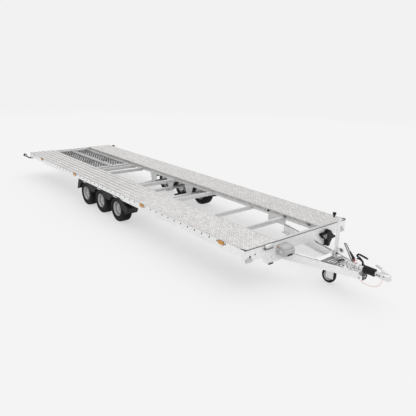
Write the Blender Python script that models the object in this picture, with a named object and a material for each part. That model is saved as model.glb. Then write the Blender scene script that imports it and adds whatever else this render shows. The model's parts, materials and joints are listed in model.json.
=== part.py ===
"""Three-axle car trailer with two open runways, parked on its jockey wheel.

Metres.  +X points forward along the drawbar, +Y to the trailer's left side, +Z up,
and the tyres stand on the floor at z = 0.  Places along X are measured from the
middle of the bed; the empty "trailer" then centres the whole length on the origin.
"""
import math

import bmesh
import bpy
from mathutils import Vector

for old in list(bpy.data.objects):
    bpy.data.objects.remove(old, do_unlink=True)

# Fits between pieces
FIT = 0.0003                    # between faces that touch
RUNNING_FIT = 0.0005            # radial, spindle in its bore
OVERRUN = 0.005                 # how far a cutter or a joined piece runs past a face

# Bed and runways
BED_LENGTH = 7.50
BED_WIDTH = 2.10
DECK_TOP = 0.559
RUNWAY_WIDTH = 0.60
SHEET = 0.003
DECK_FOLD = 0.040

# Side rails, folded channels with a row of lashing holes
RAIL_HEIGHT = 0.105
RAIL_WALL = 0.004
RAIL_TOP_FLANGE = 0.050
RAIL_BOTTOM_FLANGE = 0.015
HOLE_PITCH = 0.1606
HOLE_PHASE = 0.026
HOLE_RADIUS = 0.012
HOLE_DROP = 0.030
HOLE_SIDES = 6
HOLE_END_MARGIN = 0.16
SIDE_LAMP_SHARES = (-0.7941, -0.3179, 0.3669, 0.8851)
SIDE_LAMP_LENGTH = 0.100
SIDE_LAMP_HEIGHT = 0.036
SIDE_LAMP_DEPTH = 0.014

# End beams and inner beams
BEAM_DEPTH = 0.050
BEAM_WALL = 0.004
END_PLATE_PROUD = 0.001         # the welded plate that closes an end beam stands out
FRONT_BEAM_HEIGHT = 0.172
REAR_BEAM_HEIGHT = 0.140
INNER_HEIGHT = 0.080
INNER_FLANGE = 0.045
GUSSET_WALL = 0.006
GUSSET_REAR_REACH = 0.310       # the gussets that hold the drawbar, about the front member
GUSSET_FRONT_REACH = 0.050
GUSSET_LAP = 0.030              # how far they reach up the inner beams

# Cross members
CROSS_WIDTH = 0.040
CROSS_HEIGHT = 0.060
CROSS_WALL = 0.003
FULL_CROSS_SHARES = (0.8133, 0.6253, 0.3547, 0.0481)
RAMP_CROSS_GAP = 0.158          # from the ramps' front ends to the member ahead of them
SHORT_CROSS_STEP = 0.330        # from that member to the short one
RAMP_BEARER_SHARE = 0.5173      # of the ramps' length
BEARER_HANGER_WALL = 0.008
BEARER_HANGER_LAP = 0.040       # how far its hangers reach up the inner beams

# Wheels
WHEEL_SPACING = 0.616
MIDDLE_AXLE_X = -0.1275
WHEEL_RADIUS = 0.234
WHEEL_SEGMENTS = 20
TYRE_WIDTH = 0.195
WHEEL_INSET = 0.120             # a wheel's middle from the bed's side
RIM_RADIUS = 0.1277
RIM_WIDTH = 0.176
RIM_WALL = 0.012
RIM_DISH = 0.050
HUB_RADIUS = 0.032
HUB_REACH = 0.028
HUB_TAPER_SHARE = 0.8
DRUM_RADIUS = 0.095
DRUM_DEPTH = 0.065
DRUM_BACK = 0.093
SPINDLE_RADIUS = 0.015
SPINDLE_LENGTH = 0.050

# Axles
AXLE_TUBE_RADIUS = 0.035
AXLE_ARM_LENGTH = 0.150
AXLE_ARM_ANGLE = math.radians(22)
AXLE_ARM_WALL = 0.040
AXLE_ARM_END_RADIUS = 0.036
AXLE_ARM_TUBE_RADIUS = 0.044
BACK_PLATE_WALL = 0.004
BRACKET_TOP_LENGTH = 0.250
BRACKET_FOOT_LENGTH = 0.110
BRACKET_DROP = 0.046            # its foot under the tube's axis
BRACKET_WALL = 0.008

# Mudguards
GUARD_CLEARANCE = 0.025
GUARD_WALL = 0.004
GUARD_STEPS = 5
MITRE_LEAST = 0.3               # keeps a sharp corner from running away
GUARD_VALLEY_ANGLE = math.radians(25)
GUARD_FLAP_REACH = 0.3255       # behind the rear wheel's axis
GUARD_FLAP_BOTTOM = 0.265
GUARD_FLAP_TOP_REACH = 0.2565
GUARD_FLAP_TOP = 0.470
GUARD_HEAD_REACH = 0.2165       # where the top of the rear arch begins
GUARD_FRONT_REACH = 0.1395      # ahead of the front wheel's axis, where the top ends
GUARD_STEP_REACH = 0.4345
GUARD_STEP_Z = 0.349
GUARD_FOOT_REACH = 0.3585
GUARD_FOOT_Z = 0.235
SKIRT_TOP = 0.478               # the outer skirt laps over the rail's face
SKIRT_ARCH_CLEARANCE = 0.001
SKIRT_STEPS = 9
SKIRT_SHOULDER_REACH = 0.170    # ahead of the front wheel's axis
SKIRT_END_ANGLE = math.radians(20)

# Drawbar
DRAWBAR_LAP = 0.0695            # how far its rear ends reach beyond the inner beams' webs
DRAWBAR_TIP_HALF = 0.0769       # half its width outside at its front end
DRAWBAR_REAR_REACH = -0.730     # its ends, from the front of the bed
DRAWBAR_FRONT_REACH = 0.985
DRAWBAR_WIDTH = 0.060
DRAWBAR_WALL = 0.005
DRAWBAR_REAR_HEIGHT = 0.135
DRAWBAR_FRONT_HEIGHT = 0.092

# Overrun device and coupling
COUPLING_AXIS_Z = 0.412
HOUSING_FOOT_LENGTH = 0.170
HOUSING_LENGTH = 0.305
HOUSING_SEAT_LENGTH = 0.285     # from its rear end to the tips of the drawbar beams
HOUSING_REAR_X = BED_LENGTH / 2 + DRAWBAR_FRONT_REACH - HOUSING_SEAT_LENGTH
HOUSING_FRONT_X = HOUSING_REAR_X + HOUSING_LENGTH
HOUSING_RADIUS = 0.028
HOUSING_COLLAR_RADIUS = 0.050
HOUSING_COLLAR_LENGTH = 0.012
HOUSING_PLATE_HALF = 0.044
HOUSING_PLATE_DROP = 0.120
HOUSING_FOOT_WALL = 0.010
HOUSING_WEB_SHARE = 0.7
SHAFT_RADIUS = 0.022
BELLOWS_RADIUS = 0.049
BELLOWS_ROOT_RADIUS = 0.038
BELLOWS_FRONT_X = HOUSING_FRONT_X + 0.150
BELLOWS_FOLDS = 5
HEAD_REAR_X = HOUSING_FRONT_X + 0.165
NOSE_X = HEAD_REAR_X + 0.180
LEVER_PIN_X = HOUSING_REAR_X + 0.145
LEVER_TIP_X = HOUSING_REAR_X
LEVER_TIP_Z = 0.640
LEVER_RADIUS = 0.006
LEVER_HALF_WIDTH = 0.016
SECTOR_SIZE = 0.024
HEAD_HALF_WIDTH = 0.040
BALL_RADIUS = 0.026
BALL_X = NOSE_X - 0.045
BALL_DROP = 0.018
CATCH_REACH = 0.020             # the coupling's own lever, behind the head
CATCH_WALL = 0.012
GRIP_RADIUS = 0.009
GRIP_SETBACK = 0.030
GRIP_HEIGHT = 0.126
CABLE_RADIUS = 0.0025
CABLE_SETBACK = 0.095           # its rear end behind the housing's front
CABLE_DROP = 0.187              # its lowest place under the coupling's axis

# Jockey wheel
JOCKEY_X = HOUSING_REAR_X - 0.165
JOCKEY_Y = 0.075
JOCKEY_TUBE_RADIUS = 0.024
JOCKEY_TUBE_WALL = 0.003
JOCKEY_TUBE_BOTTOM = 0.360
JOCKEY_TUBE_TOP = 0.890
JOCKEY_LEG_RADIUS = 0.0206
JOCKEY_LEG_TOP = 0.700
JOCKEY_WHEEL_RADIUS = 0.100
JOCKEY_WHEEL_WIDTH = 0.060
JOCKEY_WHEEL_SEGMENTS = 12
JOCKEY_TRAIL = 0.060
JOCKEY_CROWN_Z = 0.215
JOCKEY_FORK_WALL = 0.005
JOCKEY_FORK_SIDE_GAP = 0.006
JOCKEY_AXLE_RADIUS = 0.008
JOCKEY_FORK_REAR = 0.022        # from the wheel's axle back to the fork's rear edge
JOCKEY_FORK_FRONT = 0.030       # from the leg's axis to the fork's front edge
JOCKEY_FORK_DROP = 0.020        # the cheeks below the axle
JOCKEY_PLATE_REAR = 0.100
JOCKEY_PLATE_WALL = 0.012
JOCKEY_CHEEK_HALF = 0.040
JOCKEY_CHEEK_HEIGHT = 0.090
CRANK_REACH = 0.085
CRANK_STEM_RADIUS = 0.012
CRANK_STEM_HEIGHT = 0.022
CRANK_ARM_HALF = 0.010
CRANK_ARM_WALL = 0.008
CRANK_KNOB_RADIUS = 0.014
CRANK_KNOB_HEIGHT = 0.070

# Loading ramps, stowed side by side under the rear of the bed
RAMP_LENGTH = 2.20
RAMP_HEIGHT = 0.058
RAMP_SIDE_WALL = 0.020
RAMP_RUNG = 0.030
RAMP_RUNG_PITCH = 0.110
RAMP_BOTTOM = 0.4603
RAMP_MIDDLE_GAP = 0.020
RAMP_BEAM_GAP = 0.0433          # beside each ramp, to the inner beam
RAMP_SETBACK = 0.012
RAMP_SLOT_CLEARANCE = 0.008

# Rear lamps
REAR_LAMP_LENGTH = 0.30
REAR_LAMP_HEIGHT = 0.10
REAR_LAMP_DEPTH = 0.045
STALK_REACH = 0.130
STALK_RISE = 0.080
STALK_ROOT_RISE = 0.016         # its root above the beam's bottom
STALK_RADIUS = 0.014
STALK_HEAD_RADIUS = 0.034
STALK_HEAD_LENGTH = 0.060

# Front lamps, chock and box
FRONT_LAMP_INSET = 0.085
FRONT_LAMP_DEPTH = 0.022
FRONT_LAMP_WIDTH = 0.085
FRONT_LAMP_HEIGHT = 0.038
FRONT_LAMP_RISE = 0.0213
CHOCK_GAP = 0.067               # its inner end from the drawbar's side
CHOCK_DEPTH = 0.110
CHOCK_WIDTH = 0.360
CHOCK_HEIGHT = 0.260
CHOCK_DROP = 0.1387             # its foot under the frame
BOX_DEPTH = 0.150
BOX_WIDTH = 0.190
BOX_HEIGHT = 0.120
BOX_INSET = 0.720               # its middle from the bed's side

# Worked-out places
HALF_BED = BED_LENGTH / 2
HALF_WIDTH = BED_WIDTH / 2
UNDER_DECK = DECK_TOP - SHEET - FIT
RAIL_BOTTOM = UNDER_DECK - RAIL_HEIGHT
FRAME_BOTTOM = UNDER_DECK - FRONT_BEAM_HEIGHT
INNER_BOTTOM = UNDER_DECK - INNER_HEIGHT
WHEEL_Y = HALF_WIDTH - WHEEL_INSET
INNER_EDGE = HALF_WIDTH - RUNWAY_WIDTH
INNER_WEB = INNER_EDGE + SHEET + FIT
CROSS_BOTTOM = RAIL_BOTTOM + RAIL_WALL + FIT
DRAWBAR_TOP = FRAME_BOTTOM - FIT
TAIL_X = -HALF_BED - REAR_LAMP_DEPTH
RAMP_WIDTH = INNER_WEB - RAMP_BEAM_GAP - RAMP_MIDDLE_GAP / 2
RAMP_FRONT_X = -HALF_BED + RAMP_SETBACK + RAMP_LENGTH
MIDDLE_OF_ALL_X = (NOSE_X + TAIL_X) / 2
SIDES = (("right", -1), ("left", 1))
AXLES = (("front", MIDDLE_AXLE_X + WHEEL_SPACING), ("middle", MIDDLE_AXLE_X),
         ("rear", MIDDLE_AXLE_X - WHEEL_SPACING))


def make_material(name, colour, roughness, metallic=0.0):
    finish = bpy.data.materials.new(name)
    finish.use_nodes = True
    shader = finish.node_tree.nodes["Principled BSDF"]
    shader.inputs["Base Color"].default_value = (*colour, 1.0)
    shader.inputs["Roughness"].default_value = roughness
    shader.inputs["Metallic"].default_value = metallic
    finish.diffuse_color = (*colour, 1.0)
    return finish


GALVANISED = make_material("galvanised steel", (0.72, 0.72, 0.71), 0.45, 0.8)
DECK_STEEL = make_material("deck sheet", (0.66, 0.65, 0.62), 0.5, 0.7)
RIM_STEEL = make_material("rim silver", (0.45, 0.45, 0.46), 0.4, 0.7)
CAST_GREY = make_material("cast grey", (0.35, 0.36, 0.37), 0.5, 0.6)
ALUMINIUM = make_material("ramp aluminium", (0.75, 0.76, 0.77), 0.35, 0.9)
RUBBER = make_material("black rubber", (0.02, 0.02, 0.022), 0.85)
BLACK_PLASTIC = make_material("black plastic", (0.025, 0.025, 0.027), 0.55)
RED_PLASTIC = make_material("red plastic", (0.55, 0.04, 0.05), 0.4)
GREY_PLASTIC = make_material("grey plastic", (0.35, 0.35, 0.36), 0.6)

trailer = bpy.data.objects.new("trailer", None)
bpy.context.scene.collection.objects.link(trailer)
trailer.location = (-MIDDLE_OF_ALL_X, 0, 0)


def place(name, data, finish, parent=trailer, location=(0, 0, 0)):
    """Link a mesh or curve as one named object under its parent."""
    thing = bpy.data.objects.new(name, data)
    bpy.context.scene.collection.objects.link(thing)
    thing.parent = parent
    thing.location = location
    data.materials.append(finish)
    return thing


def make_empty(name, location):
    """A plain place that moving solids are built around."""
    empty = bpy.data.objects.new(name, None)
    bpy.context.scene.collection.objects.link(empty)
    empty.parent = trailer
    empty.location = location
    return empty


def close_mesh(name, bm, smooth_angle=None):
    """Turn a finished bmesh into a mesh with its faces pointing out."""
    bmesh.ops.remove_doubles(bm, verts=bm.verts, dist=FIT / 10)
    bmesh.ops.recalc_face_normals(bm, faces=bm.faces)
    mesh = bpy.data.meshes.new(name)
    bm.to_mesh(mesh)
    bm.free()
    if smooth_angle is not None:
        mesh.shade_smooth()
        mesh.set_sharp_from_angle(angle=smooth_angle)
    return mesh


ROUND = math.radians(35)


def extruded(outline, axis, start, end):
    """A prism: an outline in the two other axes, in order, drawn from start to end."""
    bm = bmesh.new()
    order = {"X": (2, 0, 1), "Y": (0, 2, 1), "Z": (0, 1, 2)}[axis]
    corners = []
    for first, second in outline:
        point = (first, second, start)
        corners.append(bm.verts.new([point[k] for k in order]))
    face = bm.faces.new(corners)
    sweep = bmesh.ops.extrude_face_region(bm, geom=[face])
    shift = Vector([(0, 0, end - start)[k] for k in order])
    moved = [item for item in sweep["geom"] if isinstance(item, bmesh.types.BMVert)]
    bmesh.ops.translate(bm, vec=shift, verts=moved)
    return bm


def block(low, high):
    """A box between two corners."""
    outline = [(low[0], low[1]), (high[0], low[1]), (high[0], high[1]), (low[0], high[1])]
    return extruded(outline, "Z", low[2], high[2])


def turned(profile, axis, centre, segments, closed=False):
    """A solid of revolution from (along, radius) points, about an axis through centre.

    An open profile starts and ends on the axis; a closed one makes a ring."""
    bm = bmesh.new()
    rings = []
    for along, radius in profile:
        ring = []
        for step in range(segments):
            angle = 2 * math.pi * step / segments
            point = Vector((radius * math.cos(angle), radius * math.sin(angle), along))
            if axis == "X":
                point = Vector((point.z, point.x, point.y))
            if axis == "Y":
                point = Vector((point.x, point.z, point.y))
            ring.append(bm.verts.new(point + Vector(centre)))
        rings.append(ring)
    pairs = list(zip(rings, rings[1:]))
    if closed:
        pairs.append((rings[-1], rings[0]))
    for one, two in pairs:
        for step in range(segments):
            after = (step + 1) % segments
            bm.faces.new((one[step], one[after], two[after], two[step]))
    bmesh.ops.remove_doubles(bm, verts=bm.verts, dist=FIT / 10)
    bmesh.ops.dissolve_degenerate(bm, edges=bm.edges, dist=FIT / 10)
    return bm


def cylinder(radius, axis, start, end, centre, segments=16):
    """A round bar between two places on its axis."""
    return turned([(start, 0), (start, radius), (end, radius), (end, 0)], axis, centre, segments)


def rod(name, points, radius, finish, sides=1):
    """A bent round bar along hand-set points, smoothed by a curve."""
    curve = bpy.data.curves.new(name, "CURVE")
    curve.dimensions = "3D"
    curve.bevel_depth = radius
    curve.bevel_resolution = sides
    curve.use_fill_caps = True
    path = curve.splines.new("POLY")
    path.points.add(len(points) - 1)
    for place_on_path, point in zip(path.points, points):
        place_on_path.co = (*point, 1.0)
    return place(name, curve, finish)


def smooth_path(points, steps):
    """Catmull-Rom points through a hand-set route."""
    route = [Vector(p) for p in points]
    ends = [2 * route[0] - route[1]] + route + [2 * route[-1] - route[-2]]
    path = []
    for k in range(len(route) - 1):
        a, b, c, d = ends[k:k + 4]
        for step in range(steps):
            t = step / steps
            curve = 2 * b + (c - a) * t + (2 * a - 5 * b + 4 * c - d) * t * t
            curve = curve + (3 * b - a - 3 * c + d) * t ** 3
            path.append(curve / 2)
    path.append(route[-1])
    return path


def bent_bar(points, radius, sides=8):
    """A bent round bar as a solid, its sections square to the path."""
    bm = bmesh.new()
    rings = []
    path = [Vector(p) for p in points]
    across = None
    for k, here in enumerate(path):
        heading = (path[min(k + 1, len(path) - 1)] - path[max(k - 1, 0)]).normalized()
        if across is None:
            across = heading.orthogonal().normalized()
        across = (across - heading * across.dot(heading)).normalized()
        up = heading.cross(across)
        ring = []
        for step in range(sides):
            angle = 2 * math.pi * step / sides
            arm = across * math.cos(angle) + up * math.sin(angle)
            ring.append(bm.verts.new(here + arm * radius))
        rings.append(ring)
    for one, two in zip(rings, rings[1:]):
        for step in range(sides):
            after = (step + 1) % sides
            bm.faces.new((one[step], one[after], two[after], two[step]))
    bm.faces.new(rings[0])
    bm.faces.new(rings[-1])
    return bm


def combine(body, bm, operation):
    """Join or cut a solid by another, which stays in the file as a hidden helper."""
    helper = place(body.name + " helper", close_mesh("helper", bm), GALVANISED, body.parent)
    helper.location = body.location
    helper.hide_render = True
    helper.display_type = "WIRE"
    change = body.modifiers.new(operation.lower(), "BOOLEAN")
    change.operation = operation
    change.solver = "EXACT"
    change.object = helper


def merge(target, *others):
    """Copy other closed solids that do not touch into one bmesh."""
    for other in others:
        spare = bpy.data.meshes.new("spare")
        other.to_mesh(spare)
        other.free()
        target.from_mesh(spare)
        bpy.data.meshes.remove(spare)
    return target


def channel(low, high, wall, open_side):
    """The outline of a folded channel between two corners, open on one side."""
    (x0, z0), (x1, z1) = low, high
    if open_side == "low":
        return [(x1, z0), (x1, z1), (x0, z1), (x0, z1 - wall), (x1 - wall, z1 - wall),
                (x1 - wall, z0 + wall), (x0, z0 + wall), (x0, z0)]
    return [(x0, z0), (x0, z1), (x1, z1), (x1, z1 - wall), (x0 + wall, z1 - wall),
            (x0 + wall, z0 + wall), (x1, z0 + wall), (x1, z0)]


# Runways

def make_runway(side, sign):
    outer = sign * HALF_WIDTH
    inner = sign * INNER_EDGE
    under = DECK_TOP - SHEET
    fold_in = sign * (INNER_EDGE + SHEET)
    outline = [(outer, DECK_TOP), (inner, DECK_TOP), (inner, DECK_TOP - DECK_FOLD),
               (fold_in, DECK_TOP - DECK_FOLD), (fold_in, under), (outer, under)]
    bm = extruded(outline, "X", -HALF_BED, HALF_BED)
    runway = place("runway_" + side, close_mesh("runway", bm), DECK_STEEL)
    notches = bmesh.new()
    for end in (-1, 1):
        far = end * (HALF_BED + OVERRUN)
        near = end * (HALF_BED - BEAM_DEPTH - FIT)
        low = (min(far, near), min(inner, fold_in) - OVERRUN, DECK_TOP - DECK_FOLD - OVERRUN)
        high = (max(far, near), max(inner, fold_in) + OVERRUN, under)
        merge(notches, block(low, high))
    combine(runway, notches, "DIFFERENCE")


# Side rails

def side_lamp_places():
    return [share * HALF_BED for share in SIDE_LAMP_SHARES]


def hole_places():
    """The lashing holes along a side rail, left out behind its lamps."""
    last = HALF_BED - BEAM_DEPTH - HOLE_END_MARGIN
    count = int(2 * last / HOLE_PITCH) + 1
    first = math.ceil((-last - HOLE_PHASE) / HOLE_PITCH)
    reach = (SIDE_LAMP_LENGTH / 2) + HOLE_RADIUS * 2
    places = []
    for step in range(count):
        x = HOLE_PHASE + (first + step) * HOLE_PITCH
        if abs(x) <= last and all(abs(x - lamp) > reach for lamp in side_lamp_places()):
            places.append(x)
    return places


def make_side_rail(side, sign):
    face = sign * HALF_WIDTH
    web = sign * (HALF_WIDTH - RAIL_WALL)
    top_lip = sign * (HALF_WIDTH - RAIL_TOP_FLANGE)
    bottom_lip = sign * (HALF_WIDTH - RAIL_BOTTOM_FLANGE)
    outline = [(face, RAIL_BOTTOM), (face, UNDER_DECK), (top_lip, UNDER_DECK),
               (top_lip, UNDER_DECK - RAIL_WALL), (web, UNDER_DECK - RAIL_WALL),
               (web, RAIL_BOTTOM + RAIL_WALL), (bottom_lip, RAIL_BOTTOM + RAIL_WALL),
               (bottom_lip, RAIL_BOTTOM)]
    reach = HALF_BED - BEAM_DEPTH - FIT
    rail = place("side_rail_" + side, close_mesh("rail", extruded(outline, "X", -reach, reach)),
                 GALVANISED)
    hole_z = DECK_TOP - HOLE_DROP
    cutters = bmesh.new()
    for x in hole_places():
        hole = cylinder(HOLE_RADIUS, "Y", web - sign * OVERRUN, face + sign * OVERRUN,
                        (x, 0, hole_z), HOLE_SIDES)
        merge(cutters, hole)
    combine(rail, cutters, "DIFFERENCE")
    lamps = bmesh.new()
    for x in side_lamp_places():
        near = web + sign * RAIL_WALL / 2
        far = face + sign * SIDE_LAMP_DEPTH
        low = (x - SIDE_LAMP_LENGTH / 2, min(near, far), hole_z - SIDE_LAMP_HEIGHT / 2)
        high = (x + SIDE_LAMP_LENGTH / 2, max(near, far), hole_z + SIDE_LAMP_HEIGHT / 2)
        merge(lamps, block(low, high))
    combine(rail, lamps, "UNION")


# End beams

def close_beam_ends(beam, start, end, bottom):
    """Weld an end plate into each open end of a folded beam."""
    plates = bmesh.new()
    for side, sign in SIDES:
        outer = sign * (HALF_WIDTH + END_PLATE_PROUD)
        inner = outer - sign * BEAM_WALL
        low = (start, min(outer, inner), bottom + BEAM_WALL / 2)
        high = (end, max(outer, inner), UNDER_DECK - BEAM_WALL / 2)
        merge(plates, block(low, high))
    combine(beam, plates, "UNION")


def make_front_beam():
    outline = channel((HALF_BED - BEAM_DEPTH, FRAME_BOTTOM), (HALF_BED, UNDER_DECK),
                      BEAM_WALL, "low")
    bm = extruded(outline, "Y", -HALF_WIDTH, HALF_WIDTH)
    beam = place("front_beam", close_mesh("front beam", bm), GALVANISED)
    close_beam_ends(beam, HALF_BED - BEAM_DEPTH + END_PLATE_PROUD, HALF_BED - BEAM_WALL / 2,
                    FRAME_BOTTOM)
    lamps = bmesh.new()
    middle_z = FRAME_BOTTOM + FRONT_LAMP_RISE
    for side, sign in SIDES:
        middle = sign * (HALF_WIDTH - FRONT_LAMP_INSET)
        low = (HALF_BED - BEAM_WALL / 2, middle - FRONT_LAMP_WIDTH / 2,
               middle_z - FRONT_LAMP_HEIGHT / 2)
        high = (HALF_BED + FRONT_LAMP_DEPTH, middle + FRONT_LAMP_WIDTH / 2,
                middle_z + FRONT_LAMP_HEIGHT / 2)
        merge(lamps, block(low, high))
    combine(beam, lamps, "UNION")


def make_rear_beam():
    bottom = UNDER_DECK - REAR_BEAM_HEIGHT
    outline = channel((-HALF_BED, bottom), (-HALF_BED + BEAM_DEPTH, UNDER_DECK),
                      BEAM_WALL, "high")
    bm = extruded(outline, "Y", -HALF_WIDTH, HALF_WIDTH)
    beam = place("rear_beam", close_mesh("rear beam", bm), GALVANISED)
    close_beam_ends(beam, -HALF_BED + BEAM_WALL / 2, -HALF_BED + BEAM_DEPTH - END_PLATE_PROUD,
                    bottom)
    slot_half = RAMP_WIDTH + RAMP_MIDDLE_GAP / 2 + RAMP_SLOT_CLEARANCE
    low = (-HALF_BED - OVERRUN, -slot_half, RAMP_BOTTOM - FIT)
    high = (-HALF_BED + BEAM_DEPTH + OVERRUN, slot_half,
            RAMP_BOTTOM + RAMP_HEIGHT + RAMP_SLOT_CLEARANCE)
    combine(beam, block(low, high), "DIFFERENCE")
    lamps = bmesh.new()
    for side, sign in SIDES:
        outer = sign * (HALF_WIDTH - SIDE_LAMP_DEPTH)
        inner = outer - sign * REAR_LAMP_LENGTH
        middle = bottom + REAR_BEAM_HEIGHT / 2
        low = (TAIL_X, min(outer, inner), middle - REAR_LAMP_HEIGHT / 2)
        high = (-HALF_BED + BEAM_WALL / 2, max(outer, inner), middle + REAR_LAMP_HEIGHT / 2)
        merge(lamps, block(low, high))
    combine(beam, lamps, "UNION")


# Inner beams, with the slots that the cross members pass through

def full_cross_places():
    """The members that run from rail to rail; the last one is set by the stowed ramps."""
    return [share * HALF_BED for share in FULL_CROSS_SHARES] + [RAMP_FRONT_X + RAMP_CROSS_GAP]


def make_inner_beam(side, sign):
    web = sign * INNER_WEB
    outline = channel((INNER_WEB, INNER_BOTTOM), (INNER_WEB + INNER_FLANGE, UNDER_DECK),
                      BEAM_WALL, "high")
    outline = [(sign * y, z) for y, z in outline]
    reach = HALF_BED - BEAM_DEPTH - FIT
    bm = extruded(outline, "X", -reach, reach)
    beam = place("inner_beam_" + side, close_mesh("inner beam", bm), GALVANISED)
    far = INNER_WEB - GUSSET_WALL
    near = INNER_WEB + BEAM_WALL / 2
    lip = INNER_WEB + INNER_FLANGE - END_PLATE_PROUD
    shelf = FRAME_BOTTOM + GUSSET_WALL
    outline = [(far, FRAME_BOTTOM), (lip, FRAME_BOTTOM), (lip, shelf), (near, shelf),
               (near, INNER_BOTTOM + GUSSET_LAP), (far, INNER_BOTTOM + GUSSET_LAP)]
    outline = [(sign * y, z) for y, z in outline]
    front_member = full_cross_places()[0]
    gusset = extruded(outline, "X", front_member - GUSSET_REAR_REACH,
                      front_member + GUSSET_FRONT_REACH)
    combine(beam, gusset, "UNION")
    slots = bmesh.new()
    slot_far = web - sign * (GUSSET_WALL + OVERRUN)
    slot_near = web + sign * (INNER_FLANGE + OVERRUN)
    for x in full_cross_places():
        low = (x - CROSS_WIDTH / 2 - FIT, min(slot_far, slot_near), CROSS_BOTTOM - FIT)
        high = (x + CROSS_WIDTH / 2 + FIT, max(slot_far, slot_near),
                CROSS_BOTTOM + CROSS_HEIGHT + FIT)
        merge(slots, block(low, high))
    combine(beam, slots, "DIFFERENCE")


# Cross members

def make_cross_member(name, x, bottom, half_length):
    outline = channel((x - CROSS_WIDTH / 2, bottom), (x + CROSS_WIDTH / 2, bottom + CROSS_HEIGHT),
                      CROSS_WALL, "low")
    bm = extruded(outline, "Y", -half_length, half_length)
    return place(name, close_mesh(name, bm), GALVANISED)


def make_cross_members():
    places = full_cross_places()
    for number, x in enumerate(places, 1):
        make_cross_member(f"cross_member_{number}", x, CROSS_BOTTOM, HALF_WIDTH - RAIL_WALL - FIT)
    between = INNER_WEB - FIT
    make_cross_member(f"cross_member_{len(places) + 1}", places[-1] + SHORT_CROSS_STEP,
                      CROSS_BOTTOM, between)
    bearer_x = RAMP_FRONT_X - RAMP_LENGTH * (1 - RAMP_BEARER_SHARE)
    bottom = RAMP_BOTTOM - FIT - CROSS_HEIGHT
    bearer = make_cross_member("ramp_bearer", bearer_x, bottom, between)
    hangers = bmesh.new()
    half = CROSS_WIDTH / 2 - END_PLATE_PROUD
    for side, sign in SIDES:
        outer = sign * between
        inner = outer - sign * BEARER_HANGER_WALL
        low = (bearer_x - half, min(outer, inner), bottom + CROSS_WALL / 2)
        high = (bearer_x + half, max(outer, inner), INNER_BOTTOM + BEARER_HANGER_LAP)
        merge(hangers, block(low, high))
    combine(bearer, hangers, "UNION")


# Axles

def make_axle(name, wheel_x):
    tube_x = wheel_x + AXLE_ARM_LENGTH * math.cos(AXLE_ARM_ANGLE)
    tube_z = WHEEL_RADIUS + AXLE_ARM_LENGTH * math.sin(AXLE_ARM_ANGLE)
    plate_face = WHEEL_Y - DRUM_BACK - RUNNING_FIT * 4
    arm_outer = plate_face - BACK_PLATE_WALL
    arm_inner = arm_outer - AXLE_ARM_WALL
    tube = cylinder(AXLE_TUBE_RADIUS, "Y", -arm_inner - OVERRUN, arm_inner + OVERRUN,
                    (tube_x, 0, tube_z), 12)
    axle = place("axle_" + name, close_mesh("axle", tube, ROUND), GALVANISED)
    arms = bmesh.new()
    plates = bmesh.new()
    brackets = bmesh.new()
    for side, sign in SIDES:
        arm = arm_outline((wheel_x, WHEEL_RADIUS), (tube_x, tube_z))
        merge(arms, extruded(arm, "Y", sign * arm_inner, sign * arm_outer))
        root = arm_outer - OVERRUN / 2
        tip = plate_face + SPINDLE_LENGTH
        profile = [(root, 0), (root, SPINDLE_RADIUS), (arm_outer, SPINDLE_RADIUS),
                   (arm_outer, DRUM_RADIUS), (plate_face, DRUM_RADIUS),
                   (plate_face, SPINDLE_RADIUS), (tip, SPINDLE_RADIUS), (tip, 0)]
        profile = [(sign * along, radius) for along, radius in profile]
        merge(plates, turned(profile, "Y", (wheel_x, 0, WHEEL_RADIUS), 12))
        top = INNER_BOTTOM - FIT
        head, foot = BRACKET_TOP_LENGTH / 2, BRACKET_FOOT_LENGTH / 2
        outline = [(tube_x - head, top), (tube_x - head, top - BRACKET_WALL),
                   (tube_x - foot, tube_z - BRACKET_DROP), (tube_x + foot, tube_z - BRACKET_DROP),
                   (tube_x + head, top - BRACKET_WALL), (tube_x + head, top)]
        middle = sign * (INNER_WEB + BRACKET_WALL)
        merge(brackets, extruded(outline, "Y", middle - BRACKET_WALL / 2, middle + BRACKET_WALL / 2))
    combine(axle, arms, "UNION")
    combine(axle, plates, "UNION")
    combine(axle, brackets, "UNION")


def arm_outline(hub, tube):
    """The side view of a swing arm: two round ends joined by straight sides."""
    hub = Vector(hub)
    tube = Vector(tube)
    heading = math.atan2(*(tube - hub).yx)
    points = []
    for centre, radius, start in ((hub, AXLE_ARM_END_RADIUS, 90), (tube, AXLE_ARM_TUBE_RADIUS, -90)):
        for step in range(5):
            angle = heading + math.radians(start + 45 * step)
            points.append((centre.x + radius * math.cos(angle),
                           centre.y + radius * math.sin(angle)))
    return points


# Wheels

TYRE_SHARES = ((-0.82, 0.00), (-1.00, 0.32), (-0.97, 0.74), (-0.80, 0.95), (-0.45, 1.00),
               (0.45, 1.00), (0.80, 0.95), (0.97, 0.74), (1.00, 0.32), (0.82, 0.00))


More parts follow.
